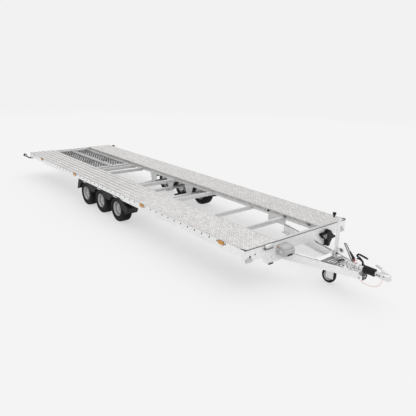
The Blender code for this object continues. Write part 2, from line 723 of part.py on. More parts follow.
def make_wheel(name, wheel_x, sign):
    hub = make_empty("wheel place " + name, (wheel_x, sign * WHEEL_Y, WHEEL_RADIUS))
    bead = RIM_RADIUS + FIT
    profile = [(across * TYRE_WIDTH / 2, bead + up * (WHEEL_RADIUS - bead))
               for across, up in TYRE_SHARES]
    tyre = turned(profile, "Y", (0, 0, 0), WHEEL_SEGMENTS, closed=True)
    place("tyre_" + name, close_mesh("tyre", tyre, ROUND), RUBBER, hub)
    edge = RIM_WIDTH / 2
    disc = edge - RIM_DISH
    barrel = RIM_RADIUS - RIM_WALL
    bore = SPINDLE_RADIUS + RUNNING_FIT
    drum_front = -DRUM_BACK + DRUM_DEPTH
    bore_end = -DRUM_BACK + SPINDLE_LENGTH + OVERRUN
    profile = [(disc + HUB_REACH, 0), (disc + HUB_REACH, HUB_RADIUS * HUB_TAPER_SHARE),
               (disc, HUB_RADIUS), (disc, barrel - RIM_WALL), (edge, barrel), (edge, RIM_RADIUS),
               (-edge, RIM_RADIUS), (-edge, barrel), (drum_front, barrel),
               (drum_front, DRUM_RADIUS), (-DRUM_BACK, DRUM_RADIUS), (-DRUM_BACK, bore),
               (bore_end, bore), (bore_end, 0)]
    profile = [(sign * along, radius) for along, radius in profile]
    rim = turned(profile, "Y", (0, 0, 0), WHEEL_SEGMENTS)
    place("rim_" + name, close_mesh("rim", rim, ROUND), RIM_STEEL, hub)


# Mudguards

def guard_path(radius):
    """The side view of the three arches: flap, arch, valley, arch, valley, arch, flap."""
    top = WHEEL_RADIUS + radius
    upright = math.pi / 2
    valley = GUARD_VALLEY_ANGLE
    front, middle, rear = [x for name, x in AXLES]
    arches = ((rear, upright, valley, GUARD_STEPS), (middle, math.pi - valley, valley, 2 * GUARD_STEPS),
              (front, math.pi - valley, upright, GUARD_STEPS))
    points = [(rear - GUARD_FLAP_REACH, GUARD_FLAP_BOTTOM),
              (rear - GUARD_FLAP_TOP_REACH, GUARD_FLAP_TOP), (rear - GUARD_HEAD_REACH, top)]
    for x, begin, finish, count in arches:
        for step in range(count + 1):
            angle = begin + (finish - begin) * step / count
            points.append((x + radius * math.cos(angle), WHEEL_RADIUS + radius * math.sin(angle)))
    return points + [(front + GUARD_FRONT_REACH, top), (front + GUARD_STEP_REACH, GUARD_STEP_Z),
                     (front + GUARD_FOOT_REACH, GUARD_FOOT_Z)]


def skirt_outline():
    """The side view of the outer skirt: over the rail's edge, and cut out round the tyres."""
    radius = WHEEL_RADIUS + SKIRT_ARCH_CLEARANCE
    valley_z = WHEEL_RADIUS + (WHEEL_RADIUS + GUARD_CLEARANCE) * math.sin(GUARD_VALLEY_ANGLE)
    valley = math.asin((valley_z - WHEEL_RADIUS) / radius)
    front, middle, rear = [x for name, x in AXLES]
    mid_wall = thicken(guard_path(WHEEL_RADIUS + GUARD_CLEARANCE), GUARD_WALL / 2)
    rear_foot, flap_top = mid_wall[:2]
    front_step, front_foot = mid_wall[-2:]
    points = [(rear_foot[0], rear_foot[1] - END_PLATE_PROUD), (flap_top[0], SKIRT_TOP),
              (front + SKIRT_SHOULDER_REACH, SKIRT_TOP), front_step,
              (front_foot[0], front_foot[1] - END_PLATE_PROUD)]
    cutouts = ((front, SKIRT_END_ANGLE, math.pi - valley), (middle, valley, math.pi - valley),
               (rear, valley, math.pi - SKIRT_END_ANGLE))
    for x, begin, finish in cutouts:
        for step in range(SKIRT_STEPS + 1):
            angle = begin + (finish - begin) * step / SKIRT_STEPS
            points.append((x + radius * math.cos(angle), WHEEL_RADIUS + radius * math.sin(angle)))
    return points


def make_mudguard(side, sign):
    radius = WHEEL_RADIUS + GUARD_CLEARANCE
    inside = guard_path(radius)
    outside = thicken(inside, GUARD_WALL)
    outline = inside + outside[::-1]
    inner = sign * (WHEEL_Y - TYRE_WIDTH / 2 - OVERRUN)
    skirt_inside = sign * (HALF_WIDTH + FIT)
    skirt_outside = skirt_inside + sign * GUARD_WALL
    bm = extruded(outline, "Y", inner, skirt_inside + sign * GUARD_WALL / 2)
    guard = place("mudguard_" + side, close_mesh("mudguard", bm), BLACK_PLASTIC)
    lip = sign * (HALF_WIDTH - RAIL_BOTTOM_FLANGE - FIT)
    beyond = skirt_outside + sign * OVERRUN
    room = block((-HALF_BED, min(lip, beyond), RAIL_BOTTOM - FIT),
                 (HALF_BED, max(lip, beyond), UNDER_DECK))
    combine(guard, room, "DIFFERENCE")
    combine(guard, extruded(skirt_outline(), "Y", skirt_inside, skirt_outside), "UNION")


def thicken(path, wall):
    """The same path moved to its left by one wall, with mitred corners."""
    moved = []
    for k, point in enumerate(path):
        here = Vector(point)
        before = Vector(path[max(k - 1, 0)])
        after = Vector(path[min(k + 1, len(path) - 1)])
        one = (here - before).normalized() if k else (after - here).normalized()
        two = (after - here).normalized() if k < len(path) - 1 else one
        normal_one = Vector((-one.y, one.x))
        normal_two = Vector((-two.y, two.x))
        mitre = (normal_one + normal_two).normalized()
        moved.append(tuple(here + mitre * wall / max(mitre.dot(normal_one), MITRE_LEAST)))
    return moved


# Drawbar

def drawbar_outer_y(x):
    share = (x - HALF_BED - DRAWBAR_REAR_REACH) / (DRAWBAR_FRONT_REACH - DRAWBAR_REAR_REACH)
    rear = INNER_WEB + DRAWBAR_LAP
    return rear + share * (DRAWBAR_TIP_HALF - rear)


def make_drawbar_beam(side, sign):
    bm = bmesh.new()
    ends = []
    heights = ((HALF_BED + DRAWBAR_REAR_REACH, DRAWBAR_REAR_HEIGHT),
               (HALF_BED + DRAWBAR_FRONT_REACH, DRAWBAR_FRONT_HEIGHT))
    for x, height in heights:
        outer = drawbar_outer_y(x)
        outline = channel((outer - DRAWBAR_WIDTH, DRAWBAR_TOP - height), (outer, DRAWBAR_TOP),
                          DRAWBAR_WALL, "low")
        ends.append([bm.verts.new((x, sign * y, z)) for y, z in outline])
    count = len(ends[0])
    for k in range(count):
        after = (k + 1) % count
        bm.faces.new((ends[0][k], ends[0][after], ends[1][after], ends[1][k]))
    bm.faces.new(ends[0])
    bm.faces.new(ends[1])
    place("drawbar_beam_" + side, close_mesh("drawbar", bm), GALVANISED)


# Overrun device

def make_overrun_housing():
    collar_x = HOUSING_FRONT_X - HOUSING_COLLAR_LENGTH
    profile = [(HOUSING_REAR_X, 0), (HOUSING_REAR_X, HOUSING_RADIUS), (collar_x, HOUSING_RADIUS),
               (collar_x, HOUSING_COLLAR_RADIUS), (HOUSING_FRONT_X, HOUSING_COLLAR_RADIUS),
               (HOUSING_FRONT_X, 0)]
    barrel = turned(profile, "X", (0, 0, COUPLING_AXIS_Z), 16)
    housing = place("overrun_housing", close_mesh("housing", barrel, ROUND), CAST_GREY)
    foot_half = drawbar_outer_y(HOUSING_REAR_X + HOUSING_FOOT_LENGTH / 2) - DRAWBAR_WALL
    foot_top = FRAME_BOTTOM + HOUSING_FOOT_WALL
    foot = block((HOUSING_REAR_X, -foot_half, FRAME_BOTTOM),
                 (HOUSING_REAR_X + HOUSING_FOOT_LENGTH, foot_half, foot_top))
    combine(housing, foot, "UNION")
    web_half = HOUSING_RADIUS * HOUSING_WEB_SHARE
    web = block((HOUSING_REAR_X + OVERRUN, -web_half, foot_top - HOUSING_FOOT_WALL / 2),
                (HOUSING_FRONT_X - OVERRUN, web_half, COUPLING_AXIS_Z))
    combine(housing, web, "UNION")
    plate = block((collar_x + END_PLATE_PROUD, -HOUSING_PLATE_HALF,
                   COUPLING_AXIS_Z - HOUSING_PLATE_DROP),
                  (HOUSING_FRONT_X - 2 * END_PLATE_PROUD, HOUSING_PLATE_HALF, COUPLING_AXIS_Z))
    combine(housing, plate, "UNION")
    top = COUPLING_AXIS_Z + HOUSING_RADIUS
    sector_half = LEVER_HALF_WIDTH - LEVER_RADIUS - FIT
    sector = block((LEVER_PIN_X - SECTOR_SIZE, -sector_half, COUPLING_AXIS_Z),
                   (LEVER_PIN_X + SECTOR_SIZE, sector_half, top + SECTOR_SIZE))
    combine(housing, sector, "UNION")


def make_bellows():
    inner = SHAFT_RADIUS + RUNNING_FIT * 4
    start = HOUSING_FRONT_X + FIT
    pitch = (BELLOWS_FRONT_X - start) / BELLOWS_FOLDS
    profile = [(start, inner)]
    for fold in range(BELLOWS_FOLDS):
        profile.append((start + fold * pitch, BELLOWS_ROOT_RADIUS))
        profile.append((start + (fold + 0.5) * pitch, BELLOWS_RADIUS))
    profile.append((BELLOWS_FRONT_X, BELLOWS_ROOT_RADIUS))
    profile.append((BELLOWS_FRONT_X, inner))
    bm = turned(profile, "X", (0, 0, COUPLING_AXIS_Z), 12, closed=True)
    place("bellows", close_mesh("bellows", bm, ROUND), RUBBER)


HEAD_SHARES = ((0.00, -0.62), (0.00, 0.62), (0.30, 0.95), (0.62, 1.00), (0.86, 0.70),
               (1.00, 0.10), (1.00, -0.80), (0.42, -0.95), (0.16, -0.70))


CATCH_SHARES = ((1.00, 0.90), (1.00, 1.45), (0.00, 2.70), (-0.06, 2.35), (0.50, 0.90))


def make_coupling_head():
    length = NOSE_X - HEAD_REAR_X
    half = HEAD_HALF_WIDTH
    outline = [(HEAD_REAR_X + along * length, COUPLING_AXIS_Z + up * half)
               for along, up in HEAD_SHARES]
    head = place("coupling_head", close_mesh("head", extruded(outline, "Y", -half, half)), CAST_GREY)
    shaft = cylinder(SHAFT_RADIUS, "X", HOUSING_FRONT_X + FIT, HEAD_REAR_X + OVERRUN,
                     (0, 0, COUPLING_AXIS_Z), 12)
    combine(head, shaft, "UNION")
    socket = [(-half * 2, 0), (-half * 2, BALL_RADIUS), (0, BALL_RADIUS)]
    for step in range(1, 5):
        angle = math.pi / 2 * step / 4
        socket.append((BALL_RADIUS * math.sin(angle), BALL_RADIUS * math.cos(angle)))
    ball_place = (BALL_X, 0, COUPLING_AXIS_Z - BALL_DROP)
    combine(head, turned(socket, "Z", ball_place, 12), "DIFFERENCE")
    catch = [(HEAD_REAR_X - CATCH_REACH + along * (BALL_X - HEAD_REAR_X + CATCH_REACH),
              COUPLING_AXIS_Z + up * half) for along, up in CATCH_SHARES]
    combine(head, extruded(catch, "Y", -CATCH_WALL, CATCH_WALL), "UNION")


def make_handbrake():
    half = LEVER_HALF_WIDTH
    start_z = COUPLING_AXIS_Z + HOUSING_RADIUS + SECTOR_SIZE / 2
    bend = 4 * LEVER_RADIUS
    one_arm = [(LEVER_PIN_X, start_z), (LEVER_PIN_X - bend, start_z + bend),
               (LEVER_TIP_X + bend, LEVER_TIP_Z - bend)]
    route = [(x, -half, z) for x, z in one_arm]
    route += [(LEVER_TIP_X, -half / 2, LEVER_TIP_Z), (LEVER_TIP_X, half / 2, LEVER_TIP_Z)]
    route += [(x, half, z) for x, z in reversed(one_arm)]
    lever = bent_bar(smooth_path(route, 3), LEVER_RADIUS, 6)
    place("handbrake_lever", close_mesh("lever", lever, ROUND), GALVANISED)


GRIP_SHARES = ((0.00, 0.24), (-0.04, 0.42), (-0.38, 0.68), (-0.68, 0.79), (-0.56, 1.00),
               (-0.16, 0.98), (0.48, 0.86))


def make_grab_handle():
    base_x = HOUSING_FRONT_X - GRIP_SETBACK
    top = COUPLING_AXIS_Z + HOUSING_RADIUS
    route = [(base_x + along * GRIP_HEIGHT, 0, top + up * GRIP_HEIGHT) for along, up in GRIP_SHARES]
    grip = bent_bar([(base_x, 0, top + FIT)] + smooth_path(route, 2), GRIP_RADIUS, 6)
    place("grab_handle", close_mesh("grip", grip, ROUND), BLACK_PLASTIC)


# Jockey wheel

def make_jockey_mount():
    inner = JOCKEY_TUBE_RADIUS - JOCKEY_TUBE_WALL
    under_cap = JOCKEY_TUBE_TOP - JOCKEY_TUBE_WALL
    profile = [(under_cap, 0), (under_cap, inner), (JOCKEY_TUBE_BOTTOM, inner),
               (JOCKEY_TUBE_BOTTOM, JOCKEY_TUBE_RADIUS), (JOCKEY_TUBE_TOP, JOCKEY_TUBE_RADIUS),
               (JOCKEY_TUBE_TOP, 0)]
    bm = turned(profile, "Z", (JOCKEY_X, JOCKEY_Y, 0), 16)
    place("jockey_outer_tube", close_mesh("outer tube", bm, ROUND), GALVANISED)
    front = JOCKEY_X - JOCKEY_TUBE_RADIUS - FIT
    rear = JOCKEY_X - JOCKEY_PLATE_REAR
    half = drawbar_outer_y((rear + front) / 2) - DRAWBAR_WALL
    top = FRAME_BOTTOM + JOCKEY_PLATE_WALL
    plate = block((rear, -half, FRAME_BOTTOM), (front, half, top))
    bracket = place("jockey_bracket", close_mesh("jockey bracket", plate), GALVANISED)
    cheek = block((front - JOCKEY_PLATE_WALL, JOCKEY_Y - JOCKEY_CHEEK_HALF,
                   top - JOCKEY_PLATE_WALL / 2),
                  (front, JOCKEY_Y + JOCKEY_CHEEK_HALF, FRAME_BOTTOM + JOCKEY_CHEEK_HEIGHT))
    combine(bracket, cheek, "UNION")


def make_crank():
    bottom = JOCKEY_TUBE_TOP + FIT
    end_x = JOCKEY_X - CRANK_REACH
    stem = cylinder(CRANK_STEM_RADIUS, "Z", bottom, bottom + CRANK_STEM_HEIGHT,
                    (JOCKEY_X, JOCKEY_Y, 0), 12)
    crank = place("jockey_crank", close_mesh("crank", stem), BLACK_PLASTIC)
    arm_z = bottom + CRANK_ARM_WALL
    arm = block((end_x - CRANK_ARM_HALF, JOCKEY_Y - CRANK_ARM_HALF, arm_z),
                (JOCKEY_X + CRANK_ARM_HALF / 2, JOCKEY_Y + CRANK_ARM_HALF, arm_z + CRANK_ARM_WALL))
    combine(crank, arm, "UNION")
    knob = cylinder(CRANK_KNOB_RADIUS, "Z", arm_z + CRANK_ARM_WALL / 2, arm_z + CRANK_KNOB_HEIGHT,
                    (end_x, JOCKEY_Y, 0), 12)
    combine(crank, knob, "UNION")


def make_jockey_leg():
    leg_place = make_empty("jockey leg place", (JOCKEY_X, JOCKEY_Y, JOCKEY_CROWN_Z))
    leg = cylinder(JOCKEY_LEG_RADIUS, "Z", FIT, JOCKEY_LEG_TOP - JOCKEY_CROWN_Z, (0, 0, 0), 16)
    place("jockey_leg", close_mesh("leg", leg, ROUND), GALVANISED, leg_place)
    inside = JOCKEY_WHEEL_WIDTH / 2 + JOCKEY_FORK_SIDE_GAP
    outside = inside + JOCKEY_FORK_WALL
    axle_z = JOCKEY_WHEEL_RADIUS - JOCKEY_CROWN_Z
    foot = axle_z - JOCKEY_FORK_DROP
    arch = [(-outside, foot), (-outside, 0), (outside, 0), (outside, foot), (inside, foot),
            (inside, -JOCKEY_FORK_WALL), (-inside, -JOCKEY_FORK_WALL), (-inside, foot)]
    fork = extruded(arch, "X", -JOCKEY_TRAIL - JOCKEY_FORK_REAR, JOCKEY_FORK_FRONT)
    fork_node = place("jockey_fork", close_mesh("fork", fork), GALVANISED, leg_place)
    pin = cylinder(JOCKEY_AXLE_RADIUS, "Y", -outside + FIT, outside - FIT,
                   (-JOCKEY_TRAIL, 0, axle_z), 12)
    combine(fork_node, pin, "UNION")


JOCKEY_WHEEL_SHARES = ((-1.0, 0.30), (-0.5, 0.40), (-0.5, 0.60), (-1.0, 0.70), (-1.0, 0.90),
                       (-0.6, 1.00), (0.6, 1.00), (1.0, 0.90), (1.0, 0.70), (0.5, 0.60),
                       (0.5, 0.40), (1.0, 0.30))


def make_jockey_wheel():
    wheel_place = make_empty("jockey wheel place",
                             (JOCKEY_X - JOCKEY_TRAIL, JOCKEY_Y, JOCKEY_WHEEL_RADIUS))
    half = JOCKEY_WHEEL_WIDTH / 2
    bore = JOCKEY_AXLE_RADIUS + RUNNING_FIT
    profile = [(across * half, up * JOCKEY_WHEEL_RADIUS) for across, up in JOCKEY_WHEEL_SHARES]
    profile = [(-half, bore)] + profile + [(half, bore)]
    wheel = turned(profile, "Y", (0, 0, 0), JOCKEY_WHEEL_SEGMENTS, closed=True)
    place("jockey_wheel", close_mesh("jockey wheel", wheel, ROUND), RUBBER, wheel_place)


# Loading ramps

def make_ramp(side, sign):
    start = -HALF_BED + RAMP_SETBACK
    inner = sign * RAMP_MIDDLE_GAP / 2
    outer = inner + sign * RAMP_WIDTH
    low_y, high_y = min(inner, outer), max(inner, outer)
    top = RAMP_BOTTOM + RAMP_HEIGHT
    solid = block((start, low_y, RAMP_BOTTOM), (start + RAMP_LENGTH, high_y, top))
    ramp = place("ramp_" + side, close_mesh("ramp", solid), ALUMINIUM)
    windows = bmesh.new()
    count = int((RAMP_LENGTH - RAMP_RUNG) / RAMP_RUNG_PITCH)
    margin = (RAMP_LENGTH - count * RAMP_RUNG_PITCH + RAMP_RUNG) / 2
    for k in range(count):
        x = start + margin + k * RAMP_RUNG_PITCH
        merge(windows, block((x, low_y + RAMP_SIDE_WALL, RAMP_BOTTOM - OVERRUN),
                             (x + RAMP_RUNG_PITCH - RAMP_RUNG, high_y - RAMP_SIDE_WALL, top + OVERRUN)))
    combine(ramp, windows, "DIFFERENCE")


# Rear corner lamps on rubber stalks

def make_stalk_lamp(side, sign):
    x = -HALF_BED + BEAM_DEPTH / 2
    root_y = sign * (HALF_WIDTH + END_PLATE_PROUD + FIT)
    z = UNDER_DECK - REAR_BEAM_HEIGHT + STALK_ROOT_RISE
    route = [(x, root_y + sign * STALK_RADIUS, z),
             (x, root_y + sign * STALK_REACH * 0.5, z + STALK_RISE * 0.25),
             (x, root_y + sign * STALK_REACH, z + STALK_RISE)]
    stalk = bent_bar([(x, root_y, z)] + smooth_path(route, 3), STALK_RADIUS, 6)
    lamp = place("corner_lamp_" + side, close_mesh("corner lamp", stalk, ROUND), RUBBER)
    head = cylinder(STALK_HEAD_RADIUS, "X", x - STALK_HEAD_LENGTH / 2, x + STALK_HEAD_LENGTH / 2,
                    (0, root_y + sign * STALK_REACH, z + STALK_RISE), 12)
    combine(lamp, head, "UNION")


# Small equipment on the front

CHOCK_SHARES = ((0.00, 0.81), (0.44, 1.00), (0.74, 0.71), (1.00, 0.40), (0.83, 0.31),
                (0.71, 0.17), (0.61, 0.02), (0.46, 0.00), (0.40, 0.44), (0.17, 0.50))


def make_chock():
    inner_y = drawbar_outer_y(HALF_BED) + CHOCK_GAP
    bottom = FRAME_BOTTOM - CHOCK_DROP
    outline = [(inner_y + along * CHOCK_WIDTH, bottom + up * CHOCK_HEIGHT)
               for along, up in CHOCK_SHARES]
    bm = extruded(outline, "X", HALF_BED + FIT, HALF_BED + CHOCK_DEPTH)
    place("wheel_chock", close_mesh("chock", bm), BLACK_PLASTIC)


def make_box():
    middle = -HALF_WIDTH + BOX_INSET
    low = (HALF_BED + FIT, middle - BOX_WIDTH / 2, FRAME_BOTTOM)
    high = (HALF_BED + BOX_DEPTH, middle + BOX_WIDTH / 2, FRAME_BOTTOM + BOX_HEIGHT)
    place("equipment_box", close_mesh("box", block(low, high)), GREY_PLASTIC)


# Breakaway cable, held at the housing and at the coupling

CABLE_SHARES = ((0.00, 0.44), (0.09, 0.77), (0.33, 0.98), (0.60, 1.00), (0.86, 0.83), (1.00, 0.44))


def make_cable():
    rear_x = HOUSING_FRONT_X - CABLE_SETBACK
    underside = min(FRAME_BOTTOM + HOUSING_FOOT_WALL / 2, COUPLING_AXIS_Z - HOUSING_RADIUS)
    rear = (rear_x, 0, underside - FIT)
    eye_share, drop_share = HEAD_SHARES[-2]
    front_x = HEAD_REAR_X + eye_share * (NOSE_X - HEAD_REAR_X)
    front = (front_x, 0, COUPLING_AXIS_Z + drop_share * HEAD_HALF_WIDTH - 2 * FIT)
    hanging = [(rear_x + along * (front_x - rear_x), 0, COUPLING_AXIS_Z - down * CABLE_DROP)
               for along, down in CABLE_SHARES]
    rod("breakaway_cable", smooth_path([rear] + hanging + [front], 3), CABLE_RADIUS, RED_PLASTIC)


for side, sign in SIDES:
    make_runway(side, sign)
    make_side_rail(side, sign)
    make_inner_beam(side, sign)
    make_mudguard(side, sign)
    make_drawbar_beam(side, sign)
    make_ramp(side, sign)
    make_stalk_lamp(side, sign)
    for name, wheel_x in AXLES:
        make_wheel(name + "_" + side, wheel_x, sign)
for name, wheel_x in AXLES:
    make_axle(name, wheel_x)
make_front_beam()
make_rear_beam()
make_cross_members()
make_overrun_housing()
make_bellows()
make_coupling_head()
make_handbrake()
make_grab_handle()
make_jockey_mount()
make_crank()
make_jockey_leg()
make_jockey_wheel()
make_chock()
make_box()
make_cable()
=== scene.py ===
import json
import math

import bmesh
import bpy
from mathutils import Matrix, Vector


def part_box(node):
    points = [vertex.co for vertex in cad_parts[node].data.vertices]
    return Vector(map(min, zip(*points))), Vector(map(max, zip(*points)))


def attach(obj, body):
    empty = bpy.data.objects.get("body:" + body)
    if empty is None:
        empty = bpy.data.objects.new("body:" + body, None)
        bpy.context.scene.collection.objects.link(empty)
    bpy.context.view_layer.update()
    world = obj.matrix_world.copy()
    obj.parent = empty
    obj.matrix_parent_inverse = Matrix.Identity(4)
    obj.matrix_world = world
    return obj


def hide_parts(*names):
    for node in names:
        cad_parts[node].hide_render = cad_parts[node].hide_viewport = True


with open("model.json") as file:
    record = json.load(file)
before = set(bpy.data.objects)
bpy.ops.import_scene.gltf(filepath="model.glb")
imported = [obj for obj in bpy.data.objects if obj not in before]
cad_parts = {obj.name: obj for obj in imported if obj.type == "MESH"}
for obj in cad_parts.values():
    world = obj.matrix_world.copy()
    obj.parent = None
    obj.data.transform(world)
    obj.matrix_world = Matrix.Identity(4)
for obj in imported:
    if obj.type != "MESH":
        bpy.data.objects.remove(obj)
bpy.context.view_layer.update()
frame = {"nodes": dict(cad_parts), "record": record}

# Lengths are in millimetres.  Places are measured from the middle of the bed at floor level, +X
# forward and +Y to the left.  The camera, the cable, the floor and the materials are in metres.

MM = 0.001
SIDES = (("right", -1), ("left", 1))
runway_low, runway_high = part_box("runway_right")
BED_X = (runway_low.x + runway_high.x) / 2      # the bed's middle in the frame, in metres


def node_box(name):
    """The lowest and highest corners of a CAD node."""
    return [(corner - Vector((BED_X, 0, 0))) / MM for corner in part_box(name)]


deck_low, deck_high = node_box("runway_right")
HALF_BED = deck_high.x
HALF_WIDTH = -deck_low.y
INNER_EDGE = -deck_high.y
DECK_TOP = deck_high.z


def link(name, data):
    """Put an object into the scene."""
    thing = bpy.data.objects.new(name, data)
    bpy.context.scene.collection.objects.link(thing)
    return thing


# Camera, fitted to the corners of the bed and the wheels in the photo

CAMERA_PLACE = (6.7469, -4.6913, 2.7168)
CAMERA_YAW = math.radians(140.1565)
CAMERA_PITCH = math.radians(17.5388)
CAMERA_ROLL = math.radians(1.6405)
CAMERA_LENS = 39.391
CAMERA_SENSOR = 36
CAMERA_REACH = 400


def make_camera():
    level = math.cos(CAMERA_PITCH)
    ahead = Vector((level * math.cos(CAMERA_YAW), level * math.sin(CAMERA_YAW), -math.sin(CAMERA_PITCH)))
    flat_right = ahead.cross(Vector((0, 0, 1))).normalized()
    flat_up = flat_right.cross(ahead)
    right = flat_right * math.cos(CAMERA_ROLL) + flat_up * math.sin(CAMERA_ROLL)
    up = flat_up * math.cos(CAMERA_ROLL) - flat_right * math.sin(CAMERA_ROLL)
    lens = bpy.data.cameras.new("camera")
    lens.sensor_width = CAMERA_SENSOR
    lens.sensor_fit = "HORIZONTAL"
    lens.lens = CAMERA_LENS
    lens.clip_end = CAMERA_REACH
    camera = link("camera", lens)
    camera.matrix_world = Matrix.Translation(CAMERA_PLACE) @ Matrix((right, up, -ahead)).transposed().to_4x4()
    bpy.context.scene.camera = camera
    bpy.context.scene.view_settings.view_transform = "Standard"


make_camera()


# Materials

def feed(tree, value, socket):
    """Join another node's output to a socket, or set the socket's own value."""
    if isinstance(value, bpy.types.NodeSocket):
        tree.links.new(value, socket)
    else:
        socket.default_value = (*value, 1.0) if socket.type == "RGBA" else value


def node(tree, kind, inputs, **settings):
    """A shader node with its inputs fed, each by its name or number."""
    made = tree.nodes.new("ShaderNode" + kind)
    for name, value in settings.items():
        setattr(made, name, value)
    for socket, value in inputs.items():
        feed(tree, value, made.inputs[socket])
    return made


class Finish:
    """A node material built step by step; its places are the object's own."""

    def __init__(self, name, roughness=0.5, metallic=0.0):
        self.material = bpy.data.materials.new(name)
        self.material.use_nodes = True
        self.tree = self.material.node_tree
        self.shader = self.tree.nodes["Principled BSDF"]
        self.put(roughness, "Roughness")
        self.put(metallic, "Metallic")
        self.where = node(self.tree, "TexCoord", {}).outputs["Object"]

    def put(self, value, socket):
        feed(self.tree, value, self.shader.inputs[socket])

    def noise(self, scale, detail=3.0, stretch=None):
        where = self.where
        if stretch:
            where = node(self.tree, "Mapping", {"Vector": where, "Scale": stretch}).outputs["Vector"]
        return node(self.tree, "TexNoise", {"Scale": scale, "Detail": detail, "Vector": where}).outputs["Fac"]

    def cells(self, scale):
        colours = node(self.tree, "TexVoronoi", {"Scale": scale, "Vector": self.where}).outputs["Color"]
        return node(self.tree, "SeparateColor", {"Color": colours}).outputs["Red"]

    def bands(self, scale, axis):
        waves = node(self.tree, "TexWave", {"Scale": scale, "Vector": self.where}, bands_direction=axis)
        return waves.outputs["Fac"]

    def sum_of(self, kind, one, two=0.0):
        return node(self.tree, "Math", {0: one, 1: two}, operation=kind).outputs[0]

    def worn_lines(self, pitch, width, start, end):
        """1 on lines that run along X, a pitch apart in Y, fading out from start to end."""
        split = node(self.tree, "SeparateXYZ", {0: self.where})
        part = self.sum_of("FRACT", self.sum_of("DIVIDE", split.outputs["Y"], pitch))
        off = self.sum_of("ABSOLUTE", self.sum_of("SUBTRACT", part, 0.5))
        lines = self.ramp(off, 1.0, 0.0, width / pitch / 4, width / pitch)
        return self.sum_of("MULTIPLY", lines, self.ramp(split.outputs["X"], 1.0, 0.0, start, end))

    def ramp(self, source, low, high, start=0.3, end=0.7):
        """Turn a 0 to 1 pattern into numbers or colours between low and high."""
        if isinstance(low, (int, float)):
            limits = {"Value": source, "From Min": start, "From Max": end, "To Min": low, "To Max": high}
            return node(self.tree, "MapRange", limits).outputs["Result"]
        made = node(self.tree, "ValToRGB", {"Fac": source})
        for element, place, colour in zip(made.color_ramp.elements, (start, end), (low, high)):
            element.position = place
            element.color = (*colour, 1.0)
        return made.outputs["Color"]

    def mix(self, share, one, two, kind="MIX"):
        made = node(self.tree, "Mix", {}, data_type="RGBA", blend_type=kind)
        for socket, value in ((0, share), (6, one), (7, two)):
            feed(self.tree, value, made.inputs[socket])
        return made.outputs[2]

    def bump(self, source, strength, depth):
        """Raise the surface by a pattern; depth is in millimetres."""
        made = node(self.tree, "Bump", {"Strength": strength, "Distance": depth * MM, "Height": source})
        earlier = self.shader.inputs["Normal"].links
        if earlier:
            feed(self.tree, earlier[0].from_socket, made.inputs["Normal"])
        self.put(made.outputs["Normal"], "Normal")


def grey(level, warm=0.0):
    return (level * (1 + warm), level, level * (1 - warm))


WORN_TONE = 0.13
WORN_LINES = (0.1, 0.0135, BED_X + 0.1, BED_X + 1.5)    # pitch, width, where the fading starts and ends


def zinc(name, low, high, metallic=0.3, roughness=(0.34, 0.52), scale=55, lines=None):
    """Galvanised steel: small crystals, cloudy patches and dull runs."""
    made = Finish(name, metallic=metallic)
    crystals = made.ramp(made.cells(scale), low, high, 0.1, 0.9)
    clouds = made.ramp(made.noise(2.2, 5), grey(0.95), grey(1.0))
    colour = made.mix(1.0, crystals, clouds, "MULTIPLY")
    if lines:
        colour = made.mix(made.worn_lines(*lines), colour, grey(WORN_TONE))
    made.put(colour, "Base Color")
    made.put(made.ramp(made.noise(9, 4), *roughness), "Roughness")
    made.bump(made.noise(420, 2), 0.25, 0.3)
    made.bump(made.noise(16, 3), 0.2, 1.2)
    return made.material


def moulded(name, low, high, roughness, grain=900, depth=0.25, metallic=0.0, cloud=7, coat=0.0, shine=0.5):
    """A moulded, painted or cast surface: cloudy colour and a fine grain."""
    made = Finish(name, metallic=metallic)
    made.put(made.ramp(made.noise(cloud, 5), low, high), "Base Color")
    made.put(made.ramp(made.noise(cloud * 3, 4), roughness - 0.07, roughness + 0.07), "Roughness")
    made.put(coat, "Coat Weight")
    made.put(shine, "Specular IOR Level")
    made.bump(made.noise(grain, 2), 0.35, depth)
    return made.material


def brushed(name, low, high, metallic, roughness, stretch):
    """Extruded or drawn metal with fine lines along one axis."""
    made = Finish(name, metallic=metallic)
    lines = made.noise(60, 4, stretch)
    made.put(made.mix(0.5, made.ramp(lines, low, high), made.ramp(made.noise(5, 4), low, high)), "Base Color")
    made.put(made.ramp(made.noise(8, 3), roughness - 0.06, roughness + 0.08), "Roughness")
    made.bump(lines, 0.15, 0.2)
    return made.material


def lens_finish(name, low, high, axis):
    """Coloured clear plastic with moulded ribs behind it."""
    made = Finish(name, roughness=0.16)
    ribs = made.bands(60, axis)
    colour = made.mix(0.6, made.ramp(ribs, low, high, 0.2, 0.8), made.ramp(made.noise(40, 2), low, high))
    made.put(colour, "Base Color")
    made.put(0.5, "Coat Weight")
    made.put(0.12, "Transmission Weight")
    made.bump(ribs, 0.3, 0.6)
    return made.material


BLACK = (grey(0.006), grey(0.013))
# Pale tones for the raised tread bars: a painted highlight on their tops.
TREAD_HIGHLIGHT_TONES = (grey(0.78, 0.015), grey(0.98, 0.01))
SHEEN = {"metallic": 0.1, "roughness": (0.26, 0.4), "scale": 26}

